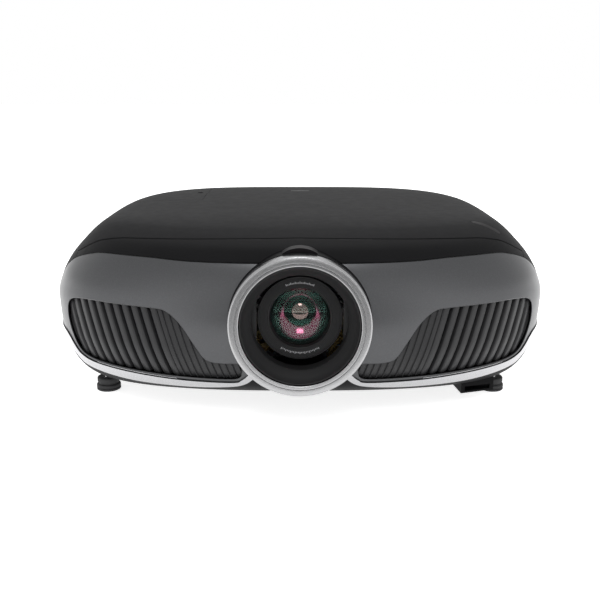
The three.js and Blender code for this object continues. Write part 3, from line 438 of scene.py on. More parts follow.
TRIM_REACH = [(CASE_FRONT - FAR, 20), (-75, 20), (-70, 60), (-6, 78), (-6, 90),
              (CASE_FRONT - FAR, 90)]


def front_region(outline, distance, end_y):
    return prism(grown(outline, distance), "y", CASE_FRONT - FAR, end_y + distance)


def trim_region(side, distance):
    outline = TRIM_OUTLINE if side > 0 else mirrored(TRIM_OUTLINE)
    return common(front_region(outline, distance, 0),
                  prism(grown(TRIM_REACH, distance), "x", -HALF_W - FAR, HALF_W + FAR))


# ---------------------------------------------------------------- bays, from the frame
PANEL_LOW, PANEL_HIGH = node_box("rear_panel")
FILTER_LOW, FILTER_HIGH = node_box("filter_cover")
DOOR_LOW, DOOR_HIGH = node_box("control_door")
LAMP_LOW, LAMP_HIGH = node_box("lamp_cover")
DOOR_OVERLAP = (4, 2)


def rear_bay(distance, y0, y1):
    outline = rounded_box(PANEL_LOW[0] - GAP, PANEL_HIGH[0] + GAP, PANEL_LOW[2] - GAP,
                          PANEL_HIGH[2] + GAP, 6)
    return prism(grown(outline, distance), "y", y0, y1)


def filter_bay(distance, y0, y1):
    outline = rounded_box(FILTER_LOW[0] - GAP, FILTER_HIGH[0] + GAP, FILTER_LOW[2] - GAP,
                          FILTER_HIGH[2] + GAP, 8)
    return prism(grown(outline, distance), "y", y0, y1)


def door_bay():
    dy, dz = DOOR_OVERLAP
    outline = rounded_box(DOOR_LOW[1] + dy, DOOR_HIGH[1] - dy, DOOR_LOW[2] + dz,
                          DOOR_HIGH[2] - dz, 5)
    return prism(outline, "x", HALF_W - 20, HALF_W + FAR)


def lamp_region(distance):
    return block(-HALF_W - FAR, LAMP_HIGH[0] + distance, LAMP_LOW[1] - distance,
                 LAMP_HIGH[1] + distance, LAMP_LOW[2] - distance, CASE_TOP + FAR)


# ---------------------------------------------------------------- edge grooves
def groove(path, width=0.75, closed=False):
    """A thin diamond-section bar along points of the skin, which chamfers both edges
    of the joint that it follows."""
    points = np.array([p for p, _ in path])
    normals = np.array([n for _, n in path])
    if closed:
        tangents = np.roll(points, -1, axis=0) - np.roll(points, 1, axis=0)
    else:
        tangents = np.gradient(points, axis=0)
    tangents /= np.maximum(np.linalg.norm(tangents, axis=1, keepdims=True), 1e-9)
    across = np.cross(normals, tangents)
    across /= np.maximum(np.linalg.norm(across, axis=1, keepdims=True), 1e-9)
    loops = [np.array([p + n * width, p + a * width, p - n * width, p - a * width])
             for p, n, a in zip(points, normals, across)]
    return loops_to_solid("groove", loops, closed)


def front_path(line):
    """Points and normals of the skin along a line seen from the front."""
    kept = []
    for x, z in line:
        half = np.interp(z, DENSE_Z, DENSE[:, 1]) * HALF_W
        if abs(x) < half - 0.3:
            kept.append((front_skin(x, z), skin_normal(x, z)))
    return kept


# ---------------------------------------------------------------- material helpers
def node_of(tree, kind, **inputs):
    node = tree.nodes.new(kind)
    for name, value in inputs.items():
        node.inputs[name].default_value = value
    return node


def new_material(name, colour, roughness, sockets):
    material = bpy.data.materials.new(name)
    material.use_nodes = True
    shader = material.node_tree.nodes["Principled BSDF"]
    shader.inputs["Base Color"].default_value = (*colour, 1)
    shader.inputs["Roughness"].default_value = roughness
    for socket, value in sockets.items():
        shader.inputs[socket].default_value = value
    return material, material.node_tree, shader


def tint(colour, share):
    return tuple(min(1.0, c * share) for c in colour) + (1,)


def vary_colour(tree, shader, factor, colour, spread):
    mix = tree.nodes.new("ShaderNodeMix")
    mix.data_type = "RGBA"
    mix.inputs["A"].default_value = tint(colour, 1 - spread)
    mix.inputs["B"].default_value = tint(colour, 1 + spread)
    tree.links.new(factor, mix.inputs["Factor"])
    tree.links.new(mix.outputs["Result"], shader.inputs["Base Color"])


def vary_roughness(tree, shader, factor, roughness, spread):
    ramp = node_of(tree, "ShaderNodeMapRange", **{"To Min": roughness - spread,
                                                  "To Max": roughness + spread})
    tree.links.new(factor, ramp.inputs["Value"])
    tree.links.new(ramp.outputs["Result"], shader.inputs["Roughness"])


def raise_bump(tree, shader, height, strength, depth):
    bump = node_of(tree, "ShaderNodeBump", Strength=strength, Distance=depth * MM)
    tree.links.new(height, bump.inputs["Height"])
    tree.links.new(bump.outputs["Normal"], shader.inputs["Normal"])


def object_place(tree):
    return tree.nodes.new("ShaderNodeTexCoord").outputs["Object"]


def noise(tree, place, size, detail=2.0):
    """Noise whose grains are about size millimetres across."""
    texture = node_of(tree, "ShaderNodeTexNoise", Scale=1 / (size * MM), Detail=detail)
    tree.links.new(place, texture.inputs["Vector"])
    return texture.outputs["Fac"]


def stretched(tree, place, shares):
    mapping = node_of(tree, "ShaderNodeMapping", Scale=shares)
    tree.links.new(place, mapping.inputs["Vector"])
    return mapping.outputs["Vector"]


def moulded(name, colour, roughness, grain=0.9, bump=0.25, spread=0.1, **sockets):
    """Moulded plastic or paint: fine grain, with slow changes of tone and gloss."""
    material, tree, shader = new_material(name, colour, roughness, sockets)
    place = object_place(tree)
    vary_colour(tree, shader, noise(tree, place, 35, 4), colour, spread)
    vary_roughness(tree, shader, noise(tree, place, 9, 3), roughness, 0.05)
    raise_bump(tree, shader, noise(tree, place, grain, 3), bump, 0.05)
    return material


def flaked(name, colour, roughness, **sockets):
    """Metallic paint: small flakes of lighter and darker tone under the gloss."""
    material, tree, shader = new_material(name, colour, roughness, sockets)
    place = object_place(tree)
    flakes = node_of(tree, "ShaderNodeTexVoronoi", Scale=1 / (0.7 * MM))
    tree.links.new(place, flakes.inputs["Vector"])
    vary_colour(tree, shader, flakes.outputs["Distance"], colour, 0.14)
    vary_roughness(tree, shader, noise(tree, place, 12, 3), roughness, 0.04)
    raise_bump(tree, shader, noise(tree, place, 0.8, 2), 0.12, 0.03)
    return material


def brushed(name, colour, roughness, shares, **sockets):
    """Metal brushed along one axis: the grain is long where the share is small."""
    material, tree, shader = new_material(name, colour, roughness, sockets)
    place = stretched(tree, object_place(tree), shares)
    lines = noise(tree, place, 0.5, 4)
    vary_colour(tree, shader, lines, colour, 0.12)
    vary_roughness(tree, shader, lines, roughness, 0.07)
    raise_bump(tree, shader, lines, 0.2, 0.02)
    return material


def spun(name, colour, roughness, centre, flat, **sockets):
    """Turned metal or plastic, with fine rings about an axis; flat zeroes that axis."""
    material, tree, shader = new_material(name, colour, roughness, sockets)
    mapping = node_of(tree, "ShaderNodeMapping",
                      Location=tuple(-c * MM * f for c, f in zip(centre, flat)), Scale=flat)
    tree.links.new(object_place(tree), mapping.inputs["Vector"])
    radius = tree.nodes.new("ShaderNodeVectorMath")
    radius.operation = "LENGTH"
    tree.links.new(mapping.outputs["Vector"], radius.inputs[0])
    rings = node_of(tree, "ShaderNodeTexNoise", Scale=1 / (0.35 * MM), Detail=3.0)
    rings.noise_dimensions = "1D"
    tree.links.new(radius.outputs["Value"], rings.inputs["W"])
    vary_colour(tree, shader, rings.outputs["Fac"], colour, 0.08)
    vary_roughness(tree, shader, rings.outputs["Fac"], roughness, 0.06)
    raise_bump(tree, shader, rings.outputs["Fac"], 0.25, 0.03)
    return material


def coated(name, colour, roughness, **sockets):
    """Polished glass with a slight unevenness of its coating."""
    material, tree, shader = new_material(name, colour, roughness, sockets)
    vary_colour(tree, shader, noise(tree, object_place(tree), 14, 2), colour, 0.06)
    return material


def patterned_board(name):
    """Solder mask with copper traces under it."""
    material, tree, shader = new_material(name, (0.02, 0.12, 0.05), 0.4, {})
    place = object_place(tree)
    traces = node_of(tree, "ShaderNodeTexBrick", Scale=1 / (6 * MM))
    traces.inputs["Color1"].default_value = (0.015, 0.10, 0.045, 1)
    traces.inputs["Color2"].default_value = (0.02, 0.14, 0.06, 1)
    traces.inputs["Mortar"].default_value = (0.05, 0.25, 0.1, 1)
    traces.inputs["Mortar Size"].default_value = 0.06
    tree.links.new(place, traces.inputs["Vector"])
    tree.links.new(traces.outputs["Color"], shader.inputs["Base Color"])
    raise_bump(tree, shader, traces.outputs["Fac"], 0.3, 0.05)
    return material


AROUND_LENS = (0, LENS[1], LENS_Z)
FLAT_Y = (1, 0, 1)
BLACK_SPECULAR = {"Specular IOR Level": 0.02}
LENS_SPECULAR = {"Specular IOR Level": 0.2}

MATERIALS = {
    "matte_black": moulded("matte_black", (0.0125, 0.0125, 0.0132), 0.5, **BLACK_SPECULAR),
    "satin_black": moulded("satin_black", (0.0085, 0.0085, 0.009), 0.42, **BLACK_SPECULAR),
    "gunmetal": flaked("gunmetal", (0.072, 0.073, 0.076), 0.34, Metallic=0.85,
                       **{"Specular IOR Level": 0.3}),
    "silver_trim": brushed("silver_trim", (0.42, 0.42, 0.43), 0.26, (0.05, 1, 1), Metallic=1.0),
    "silver_ring": spun("silver_ring", (0.34, 0.34, 0.345), 0.25, AROUND_LENS, FLAT_Y,
                        Metallic=1.0),
    "vent_black": moulded("vent_black", (0.017, 0.017, 0.018), 0.42, bump=0.15, **LENS_SPECULAR),
    "funnel_black": spun("funnel_black", (0.014, 0.014, 0.0145), 0.45, AROUND_LENS, FLAT_Y,
                         **LENS_SPECULAR),
    "barrel_black": spun("barrel_black", (0.012, 0.012, 0.0125), 0.38, AROUND_LENS, FLAT_Y,
                         **LENS_SPECULAR),
    "dark_window": moulded("dark_window", (0.007, 0.006, 0.007), 0.3, bump=0.02, **BLACK_SPECULAR),
    "steel": brushed("steel", (0.52, 0.52, 0.53), 0.3, (1, 1, 0.08), Metallic=1.0),
    "connector_metal": brushed("connector_metal", (0.56, 0.55, 0.53), 0.32, (1, 0.1, 1),
                               Metallic=1.0),
    "connector_black": moulded("connector_black", (0.015, 0.015, 0.016), 0.45),
    "filter_media": moulded("filter_media", (0.62, 0.61, 0.56), 0.95, grain=1.6, bump=0.8),
    "gear_plastic": moulded("gear_plastic", (0.045, 0.045, 0.05), 0.3),
    "brass_gear": brushed("brass_gear", (0.62, 0.46, 0.2), 0.28, (1, 0.1, 1), Metallic=1.0),
    "cast_alloy": moulded("cast_alloy", (0.4, 0.41, 0.42), 0.5, grain=1.4, bump=0.5,
                          Metallic=0.8),
    "reflector": coated("reflector", (0.86, 0.86, 0.87), 0.06, Metallic=1.0),
    "circuit_board": patterned_board("circuit_board"),
    "foot_rubber": moulded("foot_rubber", (0.02, 0.02, 0.021), 0.75, grain=1.1, bump=0.5),
    "key_plastic": moulded("key_plastic", (0.06, 0.06, 0.063), 0.4),
    "clear_glass": coated("clear_glass", (0.85, 0.9, 0.95), 0.02, **{"Transmission Weight": 0.9}),
    "coated_glass": coated("coated_glass", (0.012, 0.016, 0.015), 0.03, Alpha=0.25,
                           **{"Specular IOR Level": 0.8, "Specular Tint": (0.35, 1.0, 0.78, 1)}),
    "rear_element": coated("rear_element", (0.40, 0.12, 0.20), 0.12, Metallic=1.0),
    "middle_element": coated("middle_element", (0.34, 0.25, 0.23), 0.06, Metallic=1.0),
    "printed_mark": moulded("printed_mark", (0.3, 0.3, 0.31), 0.5),
}


# ---------------------------------------------------------------- placing pieces
def finish_piece(piece, name, material, body, *nodes, slot=None, angle=SHARP):
    """Names a piece, shades it, gives it its material and its body."""
    piece.name = name
    piece.data.name = name
    piece.data.materials.clear()
    piece.data.materials.append(MATERIALS[material])
    piece.data.shade_smooth()
    piece.data.set_sharp_from_angle(angle=angle)
    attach(piece, body)
    if nodes:
        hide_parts(*nodes)
    return piece


# ---------------------------------------------------------------- casing mouldings
outer = casing(0)
shell = cut(copy_of(outer, "shell"), casing(-WALL, *COARSE))
fascia_region = front_region(FASCIA_OUTLINE, GAP / 2, FASCIA_END)
brow_region = front_region(BROW_OUTLINE, GAP / 2, BROW_END)
lens_hole = lens_rod(COLLAR_R + GAP, CASE_FRONT - FAR, RIM_BACK)
lamp_hole = lamp_region(GAP / 2)
fascia_seam = groove(front_path(across_centre(FASCIA_TOP)))
deck_seam = groove(front_path(across_centre(DECK_SEAM)), 0.9)
lower_seams = [groove(front_path(line)) for line in (mirrored(TRIM_BOTTOM), TRIM_BOTTOM)]


def level_path(z, keep):
    """Points and normals of the skin at one height, where keep(point) is true."""
    row = [np.interp(z, DENSE_Z, DENSE[:, i]) for i in range(5)]
    around = plan(row, ANGLES)
    tangents = np.roll(around, -1, axis=0) - np.roll(around, 1, axis=0)
    normals = np.cross(tangents, np.array([0, 0, 1.0]))
    normals /= np.linalg.norm(normals, axis=1, keepdims=True)
    path = [(p, n) for p, n in zip(around, normals) if keep(p)]
    return path


def part_line_grooves():
    """The joint between top cover and lower case, on each side and at the back."""
    return [groove(level_path(PART_LINE, lambda p: p[1] > FASCIA_END))]


def side_end_grooves():
    """The upright joint where the fascia ends on each side."""
    tools = []
    for side in (-1, 1):
        path = []
        for z in np.linspace(60, 130, 36):
            half = np.interp(z, DENSE_Z, DENSE[:, 1]) * HALF_W
            path.append((np.array([side * half, FASCIA_END, z]), np.array([side, 0.0, 0.0])))
        tools.append(groove(path))
    return tools


part_seams = part_line_grooves()
end_seams = side_end_grooves()


def region_above(z):
    return block(-HALF_W - FAR, HALF_W + FAR, FRONT - FAR, REAR + FAR, z, CASE_TOP + FAR)


def region_below(z):
    return block(-HALF_W - FAR, HALF_W + FAR, FRONT - FAR, REAR + FAR, CASE_BOTTOM - FAR, z)


STATUS_TURN = -0.43
STATUS_SIZE = (30, 9)


def deck_patch(node, distance):
    """The upright prism of a small window's plan, from the CAD node's box; the status window takes only
    its centre from the box, and its size and turn from STATUS_SIZE and STATUS_TURN.
    """
    low, high = node_box(node)
    if node == "deck_receiver":
        outline = rounded_box(low[0], high[0], low[1], high[1], 2.5)
    else:
        centre = (low + high) / 2
        turn = STATUS_TURN
        c, s = math.cos(turn), math.sin(turn)
        length, width = STATUS_SIZE
        flat = rounded_box(-length / 2, length / 2, -width / 2, width / 2, width / 2 - 0.5)
        outline = [(centre[0] + u * c - v * s, centre[1] + u * s + v * c) for u, v in flat]
    return prism(grown(outline, distance), "z", MIDDLE[2], CASE_TOP + FAR)


def deck_pocket(node):
    return common(cut(casing(2, 96, 2), casing(-1.5, 96, 2)), deck_patch(node, FIT))


def make_top_cover():
    piece = common(copy_of(shell, "top"), region_above(PART_LINE + GAP / 2))
    cut(piece, fascia_region, brow_region, lamp_hole, keep=True)
    cut(piece, trim_region(1, GAP / 2), trim_region(-1, GAP / 2), rear_bay(0, BAY_START, REAR + FAR),
        filter_bay(0, BAY_START, REAR + FAR), door_bay())
    cut(piece, fascia_seam, deck_seam, *part_seams, *end_seams, keep=True)
    cut(piece, deck_pocket("status_window"), deck_pocket("deck_receiver"))
    return finish_piece(piece, "deck_moulding", "matte_black", "case", "top_cover")


def make_brow():
    piece = common(copy_of(shell, "brow"), front_region(BROW_OUTLINE, -GAP / 2, BROW_END))
    cut(piece, lens_hole, fascia_seam, deck_seam, keep=True)
    return finish_piece(piece, "brow_moulding", "satin_black", "case", "brow")


def make_fascia():
    piece = common(copy_of(shell, "fascia"), front_region(FASCIA_OUTLINE, -GAP / 2, FASCIA_END))
    cut(piece, lens_hole, fascia_seam, *end_seams, keep=True)
    for side in (-1, 1):
        outline = GRILLE_OUTLINE if side > 0 else mirrored(GRILLE_OUTLINE)
        cut(piece, prism(outline, "y", CASE_FRONT - FAR, VENT_BACK), trim_lip(side, 0.1))
        cut(piece, groove(front_path(outline), 0.9, closed=True))
    return finish_piece(piece, "front_fascia", "gunmetal", "case", "front_panel")


FOOT_MIDDLES = {side: node_middle(f"foot_pad_{side}") for side in ("left", "right")}
SIDES = (("left", -1), ("right", 1))
UNDERSIDE_SLOTS = 7


def make_lower_case():
    piece = common(copy_of(shell, "lower"), region_below(PART_LINE - GAP / 2))
    cut(piece, fascia_region, lens_hole, keep=True)
    cut(piece, trim_region(1, GAP / 2), trim_region(-1, GAP / 2), rear_bay(0, BAY_START, REAR + FAR),
        filter_bay(0, BAY_START, REAR + FAR))
    cut(piece, *part_seams, *end_seams, *lower_seams, keep=True)
    floor = CASE_BOTTOM + WALL
    for side, sign in SIDES:
        x, y, _ = FOOT_MIDDLES[side]
        join(piece, rod("z", (x, y, 0), 9, CASE_BOTTOM + 1, CASE_BOTTOM + 26))
        cut(piece, rod("z", (x, y, 0), 4 + FIT, 0, CASE_TOP))
    for x in (-110, 110):
        for y in (-45, 125):
            join(piece, rod("z", (x, y, 0), 8, CASE_BOTTOM, floor + 14))
            cut(piece, rod("z", (x, y, 0), 2.2, CASE_BOTTOM - 1, floor + 11))
    for row in range(UNDERSIDE_SLOTS):
        y = 20 + row * 9
        cut(piece, prism(rounded_box(-60, 60, y, y + 4, 1.6), "z", 0, floor + 5))
    return finish_piece(piece, "base_moulding", "matte_black", "case", "lower_case")


TRIM_PROUD = 1
LIP_FROM = 117
LIP_TO = 206


def trim_lip(sign, extra):
    """The band of the thin second silver line, above the trim and below the wide louvres."""
    line = [(x, z) for x, z in TRIM_TOP if LIP_FROM - extra < x < LIP_TO + extra]
    band = ([(x, z + 1.0 - extra) for x, z in line]
            + [(x, z + 1.9 + extra) for x, z in reversed(line)])
    return prism(band if sign > 0 else mirrored(band), "y", CASE_FRONT - FAR, VENT_BACK)


def make_trims():
    layer = cut(casing(TRIM_PROUD), casing(-WALL, *COARSE))
    for side, sign in SIDES:
        piece = common(copy_of(layer, "trim"), trim_region(sign, -GAP / 2))
        cut(piece, lens_hole, keep=True)
        lip = common(cut(casing(0.25), casing(-WALL, *COARSE)), trim_lip(sign, 0))
        finish_piece(lip, f"trim_lip_{side}", "silver_trim", "case")
        finish_piece(piece, f"silver_trim_{side}", "silver_trim", "case", f"trim_{side}")
    drop(layer)


# ---------------------------------------------------------------- louvred vents
LOUVRE_LEAN = 0.257
LOUVRE_PITCH = 10
LOUVRES_FROM = 136
RIB_PITCH = 6.5
VENT_BOTTOM = 48
VENT_TOP = 126


def skin_slab(columns, rows, front_depth, back_depth):
    """A closed slab that follows the front skin. columns(z) gives the x places of one row,
    and front_depth(i) how far below the skin column i lies."""
    front, back = [], []
    for z in rows:
        xs = columns(z)
        points = [front_skin(x, z) for x in xs]
        normals = [skin_normal(x, z) for x in xs]
        front.append([p - n * front_depth(i) for i, (p, n) in enumerate(zip(points, normals))])
        back.append([p - n * back_depth for p, n in zip(points, normals)])
    loops = [np.array(f + list(reversed(b))) for f, b in zip(front, back)]
    return loops_to_solid("slab", loops)


def leaning(x_top, offsets, sign):
    def columns(z):
        x = x_top - LOUVRE_LEAN * (VENT_TOP - z)
        return [sign * (x + offset) for offset in offsets]
    return columns


def louvre(x_top, sign):
    """One wide slat with a rounded face, whose inner edge lies deeper."""
    width = LOUVRE_PITCH - 1.3
    steps = 12
    offsets = [width * i / steps for i in range(steps + 1)]

    def depth(i):
        share = i / steps
        crown = math.sqrt(max(0.0, 1 - (2 * share - 1) ** 4))
        return 5.4 - 3.0 * crown + 1.5 * share

    rows = np.linspace(VENT_BOTTOM, VENT_TOP, 40)
    return skin_slab(leaning(x_top, offsets, sign), rows, depth, 12)


def rib(x_top, sign):
    """One thin raised rib."""
    offsets = [0, 0.3, 0.8, 1.3, 1.6]
    depths = [3.6, 2.5, 2.0, 2.5, 3.6]
    rows = np.linspace(VENT_BOTTOM, VENT_TOP, 30)
    return skin_slab(leaning(x_top, offsets, sign), rows, lambda i: depths[i], 6)


def make_vent(side, sign):
    outline = GRILLE_OUTLINE if sign > 0 else mirrored(GRILLE_OUTLINE)
    window = prism(grown(outline, -0.5), "y", CASE_FRONT - FAR, VENT_BACK)
    surround = prism(grown(outline, 2.2), "y", CASE_FRONT - FAR, VENT_BACK)
    edge = [(LOUVRES_FROM - 1.2, VENT_TOP), (LOUVRES_FROM - 1.2 - LOUVRE_LEAN * 78, VENT_BOTTOM),
            (20, VENT_BOTTOM - 4), (20, VENT_TOP)]
    edge = edge if sign > 0 else mirrored(edge)
    piece = common(cut(casing(-3.2), casing(-6, *COARSE)), prism(edge, "y", CASE_FRONT - FAR, VENT_BACK))
    x = LOUVRES_FROM - RIB_PITCH + 1.2
    while x > 50:
        join(piece, rib(x, sign))
        x -= RIB_PITCH
    x = LOUVRES_FROM
    while x < HALF_W + 8:
        join(piece, louvre(x, sign))
        x += LOUVRE_PITCH
    common(piece, window)
    for low, high in ((62, 66), (106, 110)):
        rail = common(cut(casing(-10, *COARSE), casing(-12.5, *COARSE)),
                      block(-HALF_W, HALF_W, FRONT, VENT_BACK, low, high))
        join(piece, common(rail, surround, keep=True))
    drop(surround)
    cut(piece, lens_rod(COLLAR_R + GAP + 4.5, CASE_FRONT - FAR, VENT_BACK))
    return finish_piece(piece, f"louvres_{side}", "vent_black", "case", f"grille_{side}")


# ---------------------------------------------------------------- lens surround
def lens_lathe(name, profile, segments=192):
    return lathe(name, profile, "y", (0, 0, LENS_Z), segments)


def arc(cu, cv, radius, start, end, steps=6):
    """Points of an arc, with angles in degrees."""
    angles = np.radians(np.linspace(start, end, steps + 1))
    return [(cu + radius * math.cos(a), cv + radius * math.sin(a)) for a in angles]


RING_BORE = 55.8
THROAT_R = 45.1
GUARD_EDGE = 40.6               # half the distance between the shutter guards


def make_ring():
    f = FRONT
    bore = RING_BORE
    back = RING_HIGH[1]
    profile = ([(bore, back), (bore, f + 2.2)] + arc(bore + 1.2, f + 1.6, 1.2, 180, 270)
               + [(58.6, f + 0.3), (58.9, f + 1.0), (59.5, f + 1.0), (59.8, f + 0.2)]
               + [(61.5, f), (63.6, f)] + arc(RING_R - 1.8, f + 1.8, 1.8, 270, 360)
               + [(RING_R, back)])
    piece = lens_lathe("ring", profile)
    return finish_piece(piece, "lens_bezel", "silver_ring", "case", "lens_ring")


def make_collar():
    low, high = COLLAR_LOW[1], COLLAR_HIGH[1]
    bore = 58.3
    profile = [(bore, low), (COLLAR_R - 0.6, low), (COLLAR_R, low + 0.6), (COLLAR_R, high),
               (bore, high)]
    piece = lens_lathe("collar", profile)
    return finish_piece(piece, "lens_sleeve", "satin_black", "case", "lens_collar")


def make_funnel():
    f = FRONT
    lip = RING_BORE - GAP
    back = RING_HIGH[1] + 5.6
    end = BARREL_Y - 3.4
    profile = ([(lip - 1.2, f + 2.7), (lip - 0.3, f + 2.4), (lip, f + 3), (lip, back - 2.4),
                (57.9, back - 2.4), (57.9, back), (THROAT_R + 1.8, back), (THROAT_R + 1.8, end),
                (THROAT_R, end), (THROAT_R, back - 2.2)]
               + arc(THROAT_R + 1.4, back - 2.6, 1.4, 165, 215, 4)
               + [(50.2, f + 9.6), (53.6, f + 4.4)])
    piece = lens_lathe("funnel", profile)
    return finish_piece(piece, "lens_funnel_cone", "funnel_black", "case", "lens_funnel")


def make_guards():
    """Crescent guards in the throat, in front of the parked shutter leaves."""
    for side, sign in SIDES:
        limit = math.acos(GUARD_EDGE / (THROAT_R + 1))
        angles = np.linspace(-limit, limit, 24)
        outline = [(sign * (THROAT_R + 1) * math.cos(a),
                    LENS_Z + (THROAT_R + 1) * math.sin(a)) for a in angles]
        y = BARREL_Y - 4.6
        piece = prism(outline, "y", y, y + 1)
        finish_piece(piece, f"shutter_guard_{side}", "funnel_black", "case")


def make_hood_bump():
    low, high = node_box("front_receiver")
    outline = smooth([(-16, 179), (-9, 182.6), (0, high[2]), (9, 182.6), (16, 179)], 12)
    piece = prism(outline + [(16, 170), (-16, 170)], "y", low[1], high[1])
    cut(piece, lens_rod(COLLAR_R + 0.3, FRONT - 10, -100))
    return finish_piece(piece, "front_receiver_window", "dark_window", "case", "front_receiver")


# ---------------------------------------------------------------- lens
BARREL_R = 40.3
TUBE_R = 36
GLASS_R = 28.1


def make_barrel():
    y = BARREL_Y
    end = BARREL_HIGH[1]
    face = []
    for radius in np.arange(30.4, 38.2, 1.3):
        face += [(radius, y + 0.9), (radius + 0.25, y + 1.15), (radius + 0.5, y + 0.9)]
    profile = ([(GLASS_R + 0.3, y + 4.1), (29, y + 1.1), (29.6, y + 0.7)] + face
               + [(38.6, y + 0.4), (39.0, y)] + arc(BARREL_R - 0.8, y + 0.8, 0.8, 270, 360, 4)
               + [(BARREL_R, y + 8.6), (TUBE_R, y + 10.6), (TUBE_R, end), (18, end),
                  (18, y + 44), (19.5, y + 36), (24, y + 25), (27.5, y + 18),
                  (GLASS_R + 0.3, y + 13.4)])
    piece = lens_lathe("barrel", profile)
    return finish_piece(piece, "barrel_shell", "barrel_black", "lens", "lens_barrel")


def dome(radius, centre_y, sagitta, steps=16):
    """Points from the axis out to a rim, bulging forward by a sagitta."""
    ball = (radius**2 + sagitta**2) / (2 * abs(sagitta))
    points = []
    for i in range(steps + 1):
        r = radius * i / steps
        rise = math.sqrt(ball**2 - r**2) - (ball - abs(sagitta))
        points.append((r, centre_y - math.copysign(rise, sagitta)))
    return points


def make_glass():
    y = BARREL_Y
    front = dome(GLASS_R, y + 6.6, 5.4)
    back = dome(GLASS_R, y + 9.4, 1.2)
    piece = lens_lathe("glass", front + list(reversed(back)))
    finish_piece(piece, "front_element", "coated_glass", "lens", "front_glass")
    dish = dome(25.4, y + 17, -9)
    back = [(r, s + 2) for r, s in dish]
    piece = lens_lathe("dish", dish + list(reversed(back)))
    finish_piece(piece, "rear_element", "rear_element", "lens")
    ball = dome(13.5, y + 20.5, 5)
    piece = lens_lathe("ball", ball + [(13.5, y + 24), (0, y + 24)])
    finish_piece(piece, "middle_element", "middle_element", "lens")


def make_marks():
    """Generic scale ticks round the barrel face."""
    y = BARREL_Y + 0.9
    tools = []
    for base, count, spread in ((90, 19, 44), (270, 25, 62)):
        for i in range(count):
            angle = math.radians(base - spread / 2 + spread * i / (count - 1))
            long_tick = i % 3 == 0
            r0, r1 = 33.2, 35.2 if long_tick else 34.4
            width = 0.34
            u = np.array([math.cos(angle), 0, math.sin(angle)])
            v = np.array([-math.sin(angle), 0, math.cos(angle)])
            centre = np.array([0, 0, LENS_Z])
            loop = [centre + u * r + v * w for r, w in
                    ((r0, -width), (r1, -width), (r1, width), (r0, width))]
            loops = [np.array([p + np.array([0, y - 0.12, 0]) for p in loop]),
                     np.array([p + np.array([0, y + 0.3, 0]) for p in loop])]
            tools.append(loops_to_solid("tick", loops))
    piece = join_loose(tools)
    return finish_piece(piece, "focus_scale", "printed_mark", "lens")


def join_loose(pieces):
    """Puts separate solids in one object."""
    points, faces = [], []
    for piece in pieces:
        start = len(points)
        points += [tuple(v.co / MM) for v in piece.data.vertices]
        faces += [tuple(start + i for i in polygon.vertices) for polygon in piece.data.polygons]
    drop(*pieces)
    return make_object("group", points, faces)


def make_shutters():
    for side, sign in SIDES:
        low, high = node_box(f"shutter_{side}")
        flat = high[0] if sign < 0 else low[0]
        radius = (high[2] - low[2]) / 2
        outline = [(flat + sign * radius * math.cos(a), LENS_Z + radius * math.sin(a))
                   for a in np.linspace(-math.pi / 2, math.pi / 2, 64)]
        piece = prism(outline, "y", low[1], high[1])
        finish_piece(piece, f"shutter_leaf_{side}", "vent_black", f"shutter_{side}_leaf",
                     f"shutter_{side}")


# ---------------------------------------------------------------- deck fittings
def make_deck_windows():
    layer = cut(casing(0), casing(-1.2, *COARSE))
    for node in ("deck_receiver", "status_window"):
        piece = common(copy_of(layer, node), deck_patch(node, 0))
        finish_piece(piece, f"{node}_lens", "dark_window", "case", node)
    drop(layer)


def make_lamp_cover():
    piece = common(copy_of(shell, "lamp"), lamp_region(-GAP / 2))
    screw = node_middle("lamp_cover_screw")
    cut(piece, rod("z", (screw[0], screw[1], 0), 3.4 + FIT, 0, CASE_TOP + 5))
    finish_piece(piece, "lamp_hatch", "matte_black", "lamp_door", "lamp_cover")
    low, high = node_box("lamp_cover_screw")
    top = high[2]
    profile = [(0, low[2]), (1.6, low[2]), (1.6, top - 2.2), (3.4, top - 2.2),
               (3.4, top - 0.6), (2.8, top), (0, top)]
    piece = lathe("screw", profile, "z", (screw[0], screw[1], 0), 48)
    for turn in (0, 1):
        dx, dy = (2.2, 0.45) if turn else (0.45, 2.2)
        cut(piece, block(screw[0] - dx, screw[0] + dx, screw[1] - dy, screw[1] + dy, top - 1.1,
                         top + 1))
    return finish_piece(piece, "hatch_screw", "steel", "lamp_screw", "lamp_cover_screw")


